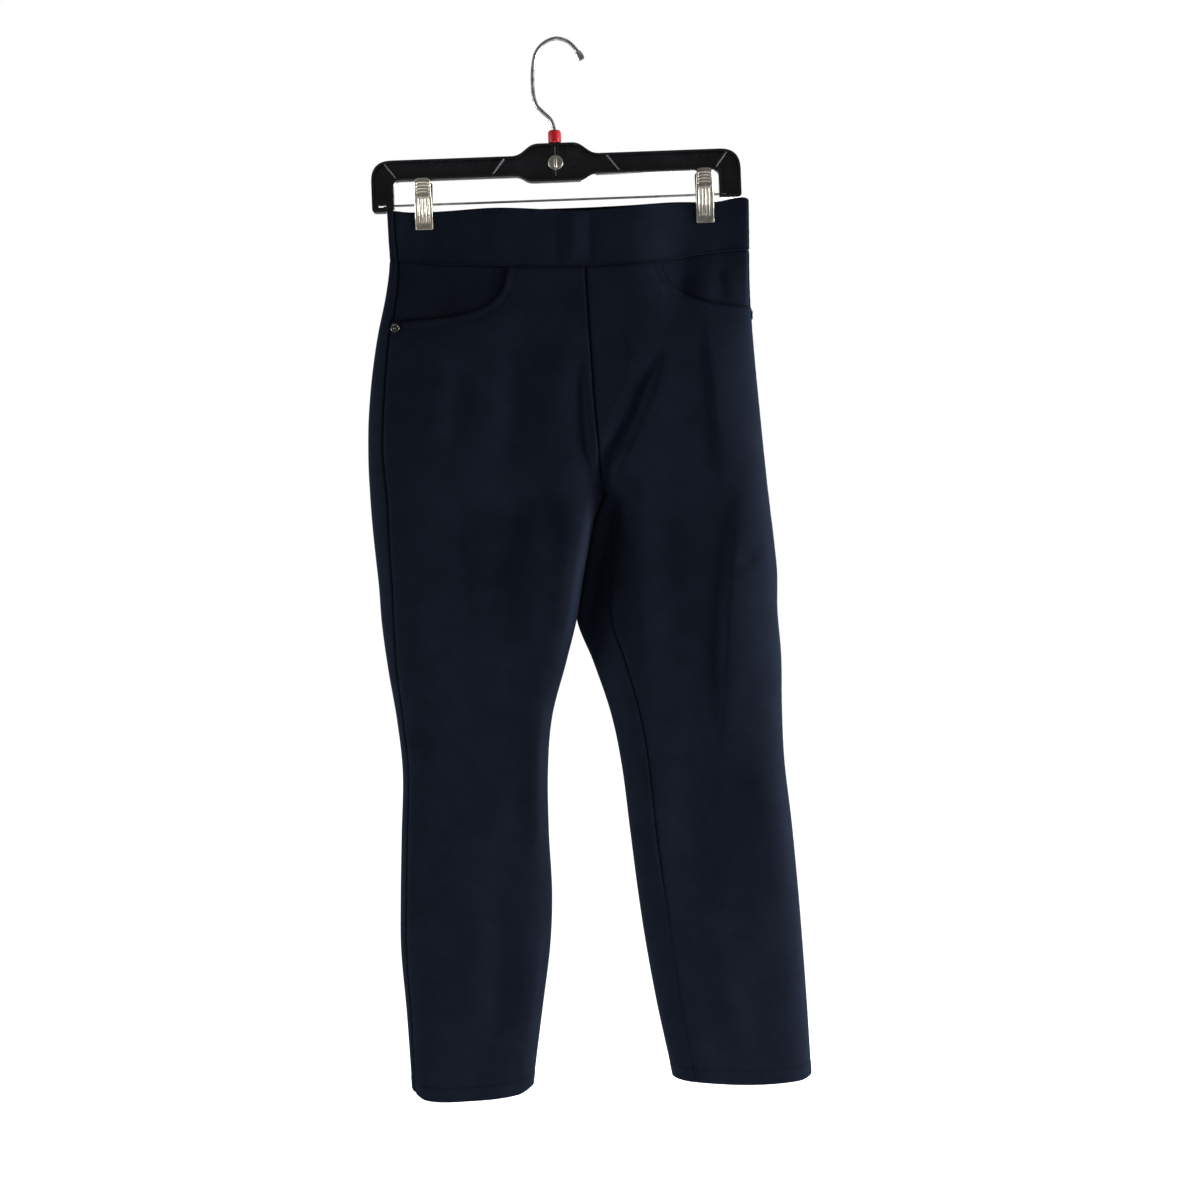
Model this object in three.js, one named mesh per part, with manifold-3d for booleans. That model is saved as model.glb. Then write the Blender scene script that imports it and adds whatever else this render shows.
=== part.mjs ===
// Pull-on knit leggings, clipped by the waistband to a 356 mm clip hanger.
// Millimetres, +Z up, front faces -Y, +X on the wearer's left.
// The origin is the seat inside the top of the hanger's hook, where a rail carries it.
// "right" and "left" in a name are the wearer's: right is on -X.
import * as THREE from 'three';
import { mergeVertices } from 'three/addons/utils/BufferGeometryUtils.js';
import Module from 'manifold-3d';

const wasm = await Module();
wasm.setup();
const DEG = Math.PI / 180;

// ---- driving dimensions: cloth ----
const KNIT = 1.3;               // wall of the leg panels
const BAND = 2.2;               // wall of the doubled waistband
const HEM = 2.6;                // wall of the turned-up hem
const HEM_DEPTH = 18;
const SEAM = 0.3;               // gap between two sewn pieces
const CROTCH_Z = -439;
const FOLD_RADIUS = 5;          // roundness of the side folds of the hanging cloth
const FLATTEN = 0.15;           // how far a section is flattened from an ellipse
const PRESSED = BAND + 0.2;     // half thickness of the two band walls in a clip
const FACING_LAP = 12;          // how far a pocket facing runs on below the scoop

// Sections of the body, from the waist down. "right" and "left" are the outline, "seam" is the centre
// seam, "arc" is how much of half an ellipse each half takes up: 90 for an open torso, 180 for a leg.
// "rightSeam" and "leftSeam" are how far the side seams sit in from the outline.
const BODY_ROWS = [
  { z: -160, right: -168.0, left: 181.0, seam: 20.0, arc: 90, front: 9.5, back: 10.0, rightSeam: 7, leftSeam: 0 },
  { z: -185, right: -167.5, left: 180.3, seam: 20.5, arc: 90, front: 11.5, back: 12.0, rightSeam: 7, leftSeam: 0 },
  { z: -210, right: -167.3, left: 179.7, seam: 21.0, arc: 90, front: 13.5, back: 13.5, rightSeam: 8, leftSeam: 0 },
  { z: -240, right: -172.0, left: 179.0, seam: 21.6, arc: 90, front: 17.0, back: 17.0, rightSeam: 10, leftSeam: 0 },
  { z: -280, right: -181.5, left: 179.4, seam: 22.6, arc: 90, front: 20.5, back: 20.5, rightSeam: 13, leftSeam: 0 },
  { z: -320, right: -188.5, left: 181.2, seam: 24.0, arc: 90, front: 23.0, back: 23.5, rightSeam: 15, leftSeam: 0 },
  { z: -360, right: -193.0, left: 183.6, seam: 25.6, arc: 97, front: 25.0, back: 26.0, rightSeam: 16, leftSeam: 0 },
  { z: -390, right: -194.4, left: 185.4, seam: 26.9, arc: 120, front: 26.0, back: 27.5, rightSeam: 16, leftSeam: 0 },
  { z: -410, right: -194.6, left: 186.7, seam: 28.0, arc: 143, front: 26.5, back: 28.0, rightSeam: 17, leftSeam: 0 },
  { z: -427, right: -194.2, left: 187.9, seam: 29.5, arc: 163, front: 26.5, back: 28.0, rightSeam: 18, leftSeam: 0 },
  { z: -439, right: -193.9, left: 188.7, seam: 31.0, arc: 180, front: 26.5, back: 28.0, rightSeam: 18.5, leftSeam: 0 },
  { z: -490, right: -191.0, left: 193.0, seam: 38.0, arc: 180, front: 27.0, back: 27.5, rightSeam: 16, leftSeam: 0 },
];

// Sections of each leg, from just above the crotch down. "outer" and "inner" are the outline, "yOuter"
// and "yInner" are how far back each edge sits, "side" and "inseam" are the seams' distances from the edges.
const RIGHT_LEG_ROWS = [
  { z: -400, outer: -194.5, inner: 33.0, front: 26.3, back: 28.0, yOuter: 0, yInner: 0, side: 17, inseam: 0 },
  { z: -439, outer: -193.9, inner: 31.0, front: 26.5, back: 28.0, yOuter: 0, yInner: 0, side: 18.5, inseam: 0 },
  { z: -449, outer: -193.5, inner: 26.0, front: 26.5, back: 28.0, yOuter: 0, yInner: -2, side: 18, inseam: -2 },
  { z: -462, outer: -192.9, inner: 21.0, front: 26.5, back: 28.0, yOuter: 0, yInner: -4.5, side: 17.5, inseam: -4 },
  { z: -476, outer: -192.0, inner: 17.5, front: 26.7, back: 27.7, yOuter: 0, yInner: -7, side: 17, inseam: -6 },
  { z: -490, outer: -191.0, inner: 14.5, front: 27.0, back: 27.5, yOuter: 0, yInner: -8.5, side: 16, inseam: -8 },
  { z: -520, outer: -188.8, inner: 8.0, front: 27.0, back: 27.0, yOuter: 0, yInner: -9, side: 15, inseam: -10 },
  { z: -556, outer: -187.3, inner: 1.0, front: 26.0, back: 27.0, yOuter: 0, yInner: -8, side: 13.5, inseam: -12 },
  { z: -600, outer: -182.8, inner: -11.5, front: 25.0, back: 26.0, yOuter: 0, yInner: -4, side: 10, inseam: -14 },
  { z: -650, outer: -176.0, inner: -26.5, front: 23.5, back: 25.0, yOuter: 0, yInner: -1, side: 7.5, inseam: -14 },
  { z: -700, outer: -172.5, inner: -32.5, front: 22.5, back: 24.0, yOuter: 0, yInner: 0, side: 7, inseam: -14 },
  { z: -760, outer: -175.8, inner: -34.0, front: 21.5, back: 23.5, yOuter: 0, yInner: 1, side: 7, inseam: -13 },
  { z: -820, outer: -179.0, inner: -33.0, front: 21.0, back: 23.0, yOuter: 1, yInner: 2, side: 7, inseam: -12 },
  { z: -870, outer: -180.4, inner: -36.5, front: 20.5, back: 22.0, yOuter: 1, yInner: 2, side: 6.5, inseam: -11 },
  { z: -930, outer: -177.2, inner: -46.0, front: 20.0, back: 21.0, yOuter: 1, yInner: 2, side: 5.5, inseam: -10 },
  { z: -1000, outer: -174.8, inner: -57.0, front: 19.5, back: 20.0, yOuter: 1, yInner: 2, side: 4, inseam: -9 },
  { z: -1030, outer: -174.0, inner: -60.0, front: 19.0, back: 19.5, yOuter: 1, yInner: 2, side: 4, inseam: -9 },
];
const LEFT_LEG_ROWS = [
  { z: -400, outer: 186.0, inner: 33.0, front: 26.3, back: 28.0, yOuter: 0, yInner: 0, side: 0, inseam: 0 },
  { z: -439, outer: 188.7, inner: 31.0, front: 26.5, back: 28.0, yOuter: 0, yInner: 0, side: 0, inseam: 0 },
  { z: -449, outer: 189.6, inner: 26, front: 26.5, back: 28.0, yOuter: 0, yInner: 2, side: 0, inseam: 5 },
  { z: -462, outer: 190.6, inner: 20.9, front: 26.5, back: 28.0, yOuter: 0, yInner: 4.5, side: 0, inseam: 12 },
  { z: -476, outer: 191.9, inner: 17, front: 26.7, back: 27.7, yOuter: 0, yInner: 7, side: 0, inseam: 19 },
  { z: -490, outer: 193.0, inner: 13.4, front: 27.0, back: 27.5, yOuter: 0, yInner: 8.5, side: 0, inseam: 24 },
  { z: -520, outer: 194.8, inner: 6.9, front: 27.0, back: 27.0, yOuter: 0, yInner: 9, side: 0, inseam: 28 },
  { z: -556, outer: 193.8, inner: 0, front: 26.0, back: 27.0, yOuter: 0, yInner: 8, side: 0, inseam: 33 },
  { z: -600, outer: 195.8, inner: 15.0, front: 25.0, back: 26.0, yOuter: 0, yInner: 3, side: 0, inseam: 31 },
  { z: -650, outer: 194.7, inner: 30.0, front: 24.0, back: 25.0, yOuter: 0, yInner: 1, side: 0, inseam: 28 },
  { z: -700, outer: 195.2, inner: 38.5, front: 23.0, back: 24.0, yOuter: 0, yInner: 0, side: 0, inseam: 26.5 },
  { z: -760, outer: 200.0, inner: 44.0, front: 22.5, back: 23.5, yOuter: 0, yInner: 0, side: 0, inseam: 25 },
  { z: -820, outer: 203.6, inner: 49.5, front: 22.0, back: 23.0, yOuter: 0, yInner: 0, side: 0, inseam: 25.5 },
  { z: -870, outer: 205.9, inner: 55.2, front: 21.5, back: 22.5, yOuter: 0, yInner: 0, side: 0, inseam: 25 },
  { z: -930, outer: 208.2, inner: 64.0, front: 21.0, back: 21.5, yOuter: 1, yInner: 0, side: 0, inseam: 23 },
  { z: -1000, outer: 210.2, inner: 76.5, front: 20.5, back: 20.5, yOuter: 1, yInner: 0, side: 0, inseam: 21 },
  { z: -1030, outer: 211.0, inner: 81.0, front: 20.0, back: 20.0, yOuter: 1, yInner: 0, side: 0, inseam: 20 },
];

// Edges that dip and rise across the garment, as heights along X.
const BAND_TOP_FRONT = [
  { x: -168, z: -157.8 }, { x: -142, z: -161 }, { x: -60, z: -160.6 }, { x: 25, z: -166 }, { x: 100, z: -161.3 },
  { x: 148, z: -161.5 }, { x: 170, z: -158.2 }, { x: 178, z: -159.2 }, { x: 181, z: -162 },
];
const BAND_TOP_BACK = [
  { x: -168, z: -157.8 }, { x: -142, z: -161 }, { x: -60, z: -160.2 }, { x: 25, z: -160.5 }, { x: 100, z: -159.5 },
  { x: 148, z: -161 }, { x: 170, z: -158.4 }, { x: 178, z: -159.2 }, { x: 181, z: -162 },
];
const BAND_SEAM = [
  { x: -167, z: -206 }, { x: -122, z: -212 }, { x: -43, z: -218.5 }, { x: 25, z: -220.5 }, { x: 96, z: -217 },
  { x: 135, z: -211.5 }, { x: 180, z: -208.5 },
];
const RIGHT_HEM = [
  { x: -175, z: -1003 }, { x: -160, z: -1013 }, { x: -118, z: -1015 }, { x: -72, z: -1011 }, { x: -57, z: -1004 },
];
const LEFT_HEM = [
  { x: 76, z: -1000 }, { x: 95, z: -1004 }, { x: 150, z: -1009 }, { x: 198, z: -1007 }, { x: 211, z: -1003 },
];

// The largest folds: straight valleys (+) or ridges (-) between two points of the front or the back.
const FOLD_ROWS = [
  { side: 'left', face: 'front', x0: 94, z0: -300, x1: 38, z1: -402, width: 11, depth: 6 },
  { side: 'left', face: 'front', x0: 100, z0: -330, x1: 56, z1: -414, width: 15, depth: -4 },
  { side: 'left', face: 'front', x0: 156, z0: -455, x1: 135, z1: -670, width: 15, depth: 3.5 },
  { side: 'right', face: 'front', x0: 2, z0: -280, x1: 14, z1: -430, width: 13, depth: 3 },
  { side: 'right', face: 'front', x0: -52, z0: -460, x1: -66, z1: -730, width: 20, depth: 3.5 },
  { side: 'right', face: 'back', x0: -60, z0: -330, x1: 8, z1: -430, width: 15, depth: 5 },
  { side: 'left', face: 'back', x0: 112, z0: -340, x1: 48, z1: -434, width: 15, depth: 5 },
  { side: 'right', face: 'back', x0: -130, z0: -560, x1: -84, z1: -700, width: 18, depth: 4 },
  { side: 'left', face: 'back', x0: 150, z0: -560, x1: 104, z1: -690, width: 18, depth: 4 },
];

// ---- driving dimensions: hanger ----
const HANGER_X = -4;            // middle of the hanger, left of the hook's seat
const HANGER_HALF = 177.8;      // half of 14 inches
const HANGER_DEPTH = 12;
const RIM = 2.2;
const WEB = 2;
const BAR_TOP = -111;
const BAR_BOTTOM = -130.5;
const ARM_WIDTH = 21.3;
const RIGHT_FOOT = -160.5;      // the arm on the wearer's right ends lower,
const LEFT_FOOT = -157.4;       // the other one meets the waistband here
const NOTCH = 8;                // step in the right foot, over the waistband's corner
const CORNER = 20;
const HUB_TOP = -99.8;
const HUB_BOTTOM = -136.5;
const WIRE = 1.7;               // radius of the hook's wire
const ROD = 1.1;                // radius of the clip rod
const ROD_Z = -154;
const ROD_HALF = 163;
const BOSS_TOP = -148.5;        // block that closes the channel round the rod's right end
const BOSS_DEPTH = 7;
const SLOT = { x: -172, z: -154.4, width: 7.6, height: 2.4 };
const RUN = 0.3;                // running clearance round the wire and the rod
const PIN_Z = -118.4;
const PIN_RADIUS = 7.2;
const CLIP_SHEET = 1;           // steel of the clips
const CLIP_TOP = -127.5;
const CLIP_BOTTOM = -179;
const CLIP_ROWS = [
  { name: 'right', x: -132.3, width: 16.6 },
  { name: 'left', x: 138.3, width: 16.6 },
];
const HOOK_ROUTE = [
  [-4, -131], [-4, -110], [-4, -98], [-4, -87], [-7.4, -76.5], [-15.4, -68.9], [-21.4, -62.6], [-24.2, -54],
  [-24.9, -42], [-24.2, -27], [-20.7, -12.5], [-12.6, -3], [0, WIRE], [11, -1.2], [18.4, -8], [22.6, -14.6],
];

const MATERIALS = {
  cloth: new THREE.MeshStandardMaterial({ color: 0x1b2233, roughness: 0.9, metalness: 0 }),
  plastic: new THREE.MeshStandardMaterial({ color: 0x121214, roughness: 0.25, metalness: 0 }),
  nickel: new THREE.MeshStandardMaterial({ color: 0xa9a39a, roughness: 0.35, metalness: 1 }),
  chrome: new THREE.MeshStandardMaterial({ color: 0xb4b4b4, roughness: 0.2, metalness: 1 }),
  red: new THREE.MeshStandardMaterial({ color: 0xc01228, roughness: 0.3, metalness: 0 }),
};

// ---- solids ----
function weld(geometry) {
  const bare = geometry.clone();
  for (const name of Object.keys(bare.attributes)) if (name !== 'position') bare.deleteAttribute(name);
  return mergeVertices(bare, 1e-4);
}

function solid(geometry) {
  const welded = weld(geometry);
  return new wasm.Manifold(new wasm.Mesh({
    numProp: 3,
    vertProperties: new Float32Array(welded.attributes.position.array),
    triVerts: new Uint32Array(welded.index.array),
  }));
}

function geometryOf(manifold) {
  const cut = manifold.getMesh();
  const geometry = new THREE.BufferGeometry();
  geometry.setAttribute('position', new THREE.BufferAttribute(cut.vertProperties.slice(), 3));
  geometry.setIndex(new THREE.BufferAttribute(cut.triVerts.slice(), 1));
  geometry.computeVertexNormals();
  return geometry;
}

function piece(name, shape, material) {
  const geometry = shape.isBufferGeometry ? weld(shape) : geometryOf(shape);
  geometry.computeVertexNormals();
  const mesh = new THREE.Mesh(geometry, material.clone());
  mesh.name = name;
  return mesh;
}

// A shape drawn in X and Z, extruded along Y between two depths.
function acrossY(shape, yFrom, yTo, curveSegments = 8) {
  const geometry = new THREE.ExtrudeGeometry(shape, { depth: yTo - yFrom, bevelEnabled: false, curveSegments });
  return geometry.rotateX(Math.PI / 2).translate(0, yTo, 0);
}

// A shape drawn in Y and Z, extruded along X between two places.
function acrossX(shape, xFrom, xTo) {
  const geometry = new THREE.ExtrudeGeometry(shape, { depth: xTo - xFrom, bevelEnabled: false });
  return geometry.rotateY(Math.PI / 2).rotateX(Math.PI / 2).translate(xFrom, 0, 0);
}

function rodAlongX(radius, xFrom, xTo, y, z, sides = 20) {
  const geometry = new THREE.CylinderGeometry(radius, radius, xTo - xFrom, sides);
  return geometry.rotateZ(Math.PI / 2).translate((xFrom + xTo) / 2, y, z);
}

// A closed shell of cloth from its outer and inner points, [column][row].
function shell(outer, inner) {
  const columns = outer.length;
  const rows = outer[0].length;
  const points = [];
  for (const layer of [outer, inner]) for (const column of layer) for (const p of column) points.push(p.x, p.y, p.z);
  const at = (layer, i, j) => layer * columns * rows + i * rows + j;
  const faces = [];
  const quad = (a, b, c, d) => faces.push(a, b, c, a, c, d);
  for (let i = 0; i < columns - 1; i++) {
    for (let j = 0; j < rows - 1; j++) {
      quad(at(0, i, j), at(0, i, j + 1), at(0, i + 1, j + 1), at(0, i + 1, j));
      quad(at(1, i, j), at(1, i + 1, j), at(1, i + 1, j + 1), at(1, i, j + 1));
    }
  }
  for (let i = 0; i < columns - 1; i++) {
    quad(at(0, i, 0), at(0, i + 1, 0), at(1, i + 1, 0), at(1, i, 0));
    quad(at(0, i + 1, rows - 1), at(0, i, rows - 1), at(1, i, rows - 1), at(1, i + 1, rows - 1));
  }
  for (let j = 0; j < rows - 1; j++) {
    quad(at(0, 0, j + 1), at(0, 0, j), at(1, 0, j), at(1, 0, j + 1));
    quad(at(0, columns - 1, j), at(0, columns - 1, j + 1), at(1, columns - 1, j + 1), at(1, columns - 1, j));
  }
  const geometry = new THREE.BufferGeometry();
  geometry.setAttribute('position', new THREE.Float32BufferAttribute(points, 3));
  geometry.setIndex(faces);
  return volumeOf(geometry) < 0 ? turnedOut(geometry) : geometry;
}

function volumeOf(geometry) {
  const [a, b, c] = [new THREE.Vector3(), new THREE.Vector3(), new THREE.Vector3()];
  const position = geometry.attributes.position;
  let sum = 0;
  for (let k = 0; k < geometry.index.count; k += 3) {
    a.fromBufferAttribute(position, geometry.index.getX(k));
    b.fromBufferAttribute(position, geometry.index.getX(k + 1));
    c.fromBufferAttribute(position, geometry.index.getX(k + 2));
    sum += a.dot(b.cross(c)) / 6;
  }
  return sum;
}

function turnedOut(geometry) {
  const index = Array.from(geometry.index.array);
  for (let k = 0; k < index.length; k += 3) [index[k + 1], index[k + 2]] = [index[k + 2], index[k + 1]];
  geometry.setIndex(index);
  return geometry;
}

// ---- the hanging cloth ----
const mix = THREE.MathUtils.lerp;
const ease = (from, to, v) => THREE.MathUtils.smoothstep(v, Math.min(from, to), Math.max(from, to));

// Smooth value of a table's column between its rows, by a cubic through the neighbouring rows.
function along(rows, key, column, at) {
  const up = rows[0][key] < rows[1][key];
  let k = 0;
  while (k < rows.length - 2 && (up ? at > rows[k + 1][key] : at < rows[k + 1][key])) k += 1;
  const [a, b] = [rows[k], rows[k + 1]];
  const [before, after] = [rows[Math.max(0, k - 1)], rows[Math.min(rows.length - 1, k + 2)]];
  const span = b[key] - a[key];
  const slopeA = (b[column] - before[column]) / (b[key] - before[key]) * span;
  const slopeB = (after[column] - a[column]) / (after[key] - a[key]) * span;
  const t = THREE.MathUtils.clamp((at - a[key]) / span, 0, 1);
  const [t2, t3] = [t * t, t * t * t];
  return (2 * t3 - 3 * t2 + 1) * a[column] + (t3 - 2 * t2 + t) * slopeA
    + (3 * t2 - 2 * t3) * b[column] + (t3 - t2) * slopeB;
}

// The numbers of one half's section at height z.
function section(side, z) {
  const sign = side === 'right' ? 1 : -1;
  if (z > CROTCH_Z) {
    const body = (column) => along(BODY_ROWS, 'z', column, z);
    return {
      outer: body(side), inner: body('seam') - sign * SEAM / 2, arc: Math.min(180, Math.max(90, body('arc'))),
      front: body('front'), back: body('back'), yOuter: 0, yInner: 0, side: body(`${side}Seam`), inseam: 0,
    };
  }
  const rows = side === 'right' ? RIGHT_LEG_ROWS : LEFT_LEG_ROWS;
  const leg = (column) => along(rows, 'z', column, z);
  return {
    outer: leg('outer'), inner: leg('inner') - sign * SEAM / 2, arc: 180, front: leg('front'), back: leg('back'),
    yOuter: leg('yOuter'), yInner: leg('yInner'), side: leg('side'), inseam: leg('inseam'),
  };
}

// How hard the clips press the two walls together, 0 to 1.
function pinch(x, z) {
  const below = ease(-300, CLIP_BOTTOM, z);
  const press = CLIP_ROWS.map((clip) => 1 - ease(clip.width / 2 + 12, clip.width / 2 + 36, Math.abs(x - clip.x)));
  return Math.max(...press) * below;
}

function foldAt(side, face, x, z) {
  let depth = 0;
  for (const fold of FOLD_ROWS) {
    if (fold.side !== side || fold.face !== face) continue;
    const [dx, dz] = [fold.x1 - fold.x0, fold.z1 - fold.z0];
    const length = Math.hypot(dx, dz);
    const run = ((x - fold.x0) * dx + (z - fold.z0) * dz) / length;
    const off = ((x - fold.x0) * dz - (z - fold.z0) * dx) / length;
    const taper = ease(0, length * 0.3, run) * (1 - ease(length * 0.75, length, run));
    depth += fold.depth * taper * Math.exp(-((off / fold.width) ** 2));
  }
  return depth;
}

// A point of the outer face. The angle runs from 0 at the side fold, forward (+) or backward (-),
// to the centre seam or round the leg.
function skin(side, angle, z) {
  const s = section(side, z);
  const turned = angle > 180 ? angle - 360 : angle < -180 ? angle + 360 : angle;
  const psi = Math.abs(turned) * DEG;
  const reach = (s.inner - s.outer) / (1 - Math.cos(s.arc * DEG));
  const x = s.outer + reach * (1 - Math.cos(psi));
  const fromEdge = Math.abs(reach) * Math.min(1 - Math.cos(psi), 1 + Math.cos(psi));
  const rounded = Math.sqrt(1 - (1 - Math.min(1, fromEdge / FOLD_RADIUS)) ** 2);
  const bulge = (Math.sin(psi) + FLATTEN * Math.sin(3 * psi)) / (1 - FLATTEN);
  const forward = turned >= 0;
  const free = FOLD_RADIUS * rounded + ((forward ? s.front : s.back) - FOLD_RADIUS) * bulge;
  const held = mix(free, Math.min(free, PRESSED), pinch(x, z));
  const half = held - foldAt(side, forward ? 'front' : 'back', x, z) * Math.min(1, fromEdge / 20) * rounded;
  const middle = mix(s.yOuter, s.yInner, ease(0.45, 1, (x - s.outer) / (s.inner - s.outer)));
  return new THREE.Vector3(x, middle + (forward ? -half : half), z);
}

// The point under it, inside the cloth, by the wall's thickness.
function lining(side, angle, z, wall) {
  const step = 0.4;
  const [a, b] = [skin(side, angle - step, z), skin(side, angle + step, z)];
  const tangent = b.sub(a).setZ(0).normalize();
  const inward = new THREE.Vector3(-tangent.y, tangent.x, 0).multiplyScalar(side === 'right' ? 1 : -1);
  return skin(side, angle, z).addScaledVector(inward, wall);
}

// The angle of a place that lies "offset" in from the side fold, minus behind it.
function angleAt(s, offset, fromInner = false) {
  const reach = Math.abs(s.inner - s.outer) / (1 - Math.cos(s.arc * DEG));
  const angle = Math.acos(THREE.MathUtils.clamp(1 - Math.abs(offset) / reach, -1, 1)) / DEG;
  return fromInner ? 180 - Math.sign(offset) * angle : Math.sign(offset) * angle;
}

// How far the angle turns over half a seam's gap, at one place.
function gapAngle(side, angle, z) {
  const step = 0.5;
  return (SEAM / 2) * (2 * step) / skin(side, angle - step, z).distanceTo(skin(side, angle + step, z));
}

// Where a panel starts (its side seam) and ends (centre seam, then inseam) at height z.
function panelRange(side, face, z) {
  const s = section(side, z);
  const start = angleAt(s, s.side);
  const ahead = face === 'front' ? 1 : -1;
  const from = start + ahead * gapAngle(side, start, z);
  if (s.arc < 180) return [from, ahead * s.arc];
  const end = angleAt(s, s.inseam, true);
  const to = face === 'front' ? end : end - 360;
  return [from, to - ahead * gapAngle(side, end, z)];
}

const TOP_LEVELS = [0, 0.07, 0.17, 0.27, 0.37, 0.47, 0.57, 0.67, 0.76, 0.84, 0.9, 0.95, 0.98, 1];
const LEG_LEVELS = [0.009, 0.018, 0.03, 0.045, 0.07, 0.1, 0.14, 0.18, 0.22, 0.27, 0.33, 0.4, 0.48, 0.56, 0.64,
  0.72, 0.8, 0.88, 0.94];
const PANEL_COLUMNS = 12;
const FACING_COLUMNS = 10;      // of the panel's, from the side seam
const FACING_ROWS = 5;          // of the panel's, from the band seam

// Heights of a leg panel's rows down the column at this angle, with the wall at each.
function panelRows(side, share) {
  const topAngle = mix(...panelRange(side, share.face, -215), share.u);
  const hemAngle = mix(...panelRange(side, share.face, -1005), share.u);
  const top = along(BAND_SEAM, 'x', 'z', skin(side, topAngle, -215).x) - SEAM / 2;
  const hem = along(side === 'right' ? RIGHT_HEM : LEFT_HEM, 'x', 'z', skin(side, hemAngle, -1005).x);
  const turnUp = hem + HEM_DEPTH;
  return [
    ...TOP_LEVELS.map((t) => ({ z: mix(top, CROTCH_Z, t), wall: KNIT })),
    ...LEG_LEVELS.map((t) => ({ z: mix(CROTCH_Z, hem, t), wall: KNIT })),
    { z: turnUp + 0.5, wall: KNIT }, { z: turnUp, wall: HEM }, { z: hem, wall: HEM },
  ];
}

function legPanel(side, face, columns = PANEL_COLUMNS) {
  const [outer, inner] = [[], []];
  for (let i = 0; i <= columns; i++) {
    const u = i / columns;
    const rows = panelRows(side, { face, u });
    const angle = (z) => mix(...panelRange(side, face, z), u);
    outer.push(rows.map((row) => skin(side, angle(row.z), row.z)));
    inner.push(rows.map((row) => lining(side, angle(row.z), row.z, row.wall)));
  }
  return shell(outer, inner);
}

// The scoop of each front pocket, from the band seam to the side seam.
const SCOOPS = {
  right: { start: [-52.5, -219], dip: [-58, -262], turn: [-84, -266], end: [-170, -268] },
  left: { start: [92, -219], dip: [99, -252], turn: [125, -262], end: [182, -266] },
};

// The prism of everything above and outside the scoop, lowered by "lap".
function scoopPrism(side, lap) {
  const { start, dip, turn, end } = SCOOPS[side];
  const out = Math.sign(end[0] - start[0]);
  const shape = new THREE.Shape();
  shape.moveTo(start[0] - out * lap, -200);
  shape.lineTo(start[0] - out * lap, start[1]);
  shape.bezierCurveTo(dip[0] - out * lap, dip[1] - lap, turn[0] - out * lap / 2, turn[1] - lap, end[0], end[1] - lap);
  shape.lineTo(end[0] + out * 30, end[1] - lap);
  shape.lineTo(end[0] + out * 30, -200);
  return solid(acrossY(shape, -60, 40, 14));
}

// The pocket's facing: the panel's own points moved in below it, under the scoop.
function pocketFacing(side) {
  const [outer, inner] = [[], []];
  for (let i = 0; i <= FACING_COLUMNS; i++) {
    const u = i / PANEL_COLUMNS;
    const rows = panelRows(side, { face: 'front', u }).slice(0, FACING_ROWS);
    const angle = (z) => mix(...panelRange(side, 'front', z), u);
    outer.push(rows.map(({ z }) => lining(side, angle(z), z, KNIT + SEAM)));
    inner.push(rows.map(({ z }) => lining(side, angle(z), z, 2 * KNIT + SEAM)));
  }
  return solid(shell(outer, inner)).intersect(scoopPrism(side, FACING_LAP));
}

// The waistband's front or back, from side seam to side seam over the centre.
function waistband(face) {
  const columns = 12;
  const levels = [0, 0.33, 0.66, 1];
  const edge = face === 'front' ? BAND_TOP_FRONT : BAND_TOP_BACK;
  const [outer, inner] = [[], []];
  for (const side of ['right', 'left']) {
    for (let k = 0; k <= columns; k++) {
      const u = (side === 'right' ? k : columns - k) / columns;
      if (side === 'left' && k === 0) continue;
      const angle = (z) => mix(...panelRange(side, face, z), u);
      const x = skin(side, angle(-190), -190).x;
      const [top, bottom] = [along(edge, 'x', 'z', x), along(BAND_SEAM, 'x', 'z', x) + SEAM / 2];
      const zs = levels.map((t) => mix(top, bottom, t));
      outer.push(zs.map((z) => skin(side, angle(z), z)));
      inner.push(zs.map((z) => lining(side, angle(z), z, BAND)));
    }
  }
  return shell(outer, inner);
}

// A riveted button face: a dished disc that stands on the cloth along its outward direction.
function rivet(side, angle, z, lift) {
  const profile = [[0, 0], [4.4, 0], [4.8, 0.5], [4.6, 1.3], [3.7, 1.8], [2.9, 1.4], [2.2, 1.3], [1.3, 1.9], [0, 2.2]];
  const geometry = new THREE.LatheGeometry(profile.map(([r, h]) => new THREE.Vector2(r, h)), 20);
  const at = skin(side, angle, z);
  const outward = at.clone().sub(lining(side, angle, z, 1)).normalize();
  const turn = new THREE.Quaternion().setFromUnitVectors(new THREE.Vector3(0, 1, 0), outward);
  return geometry.applyQuaternion(turn).translate(...at.addScaledVector(outward, lift).toArray());
}

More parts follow.
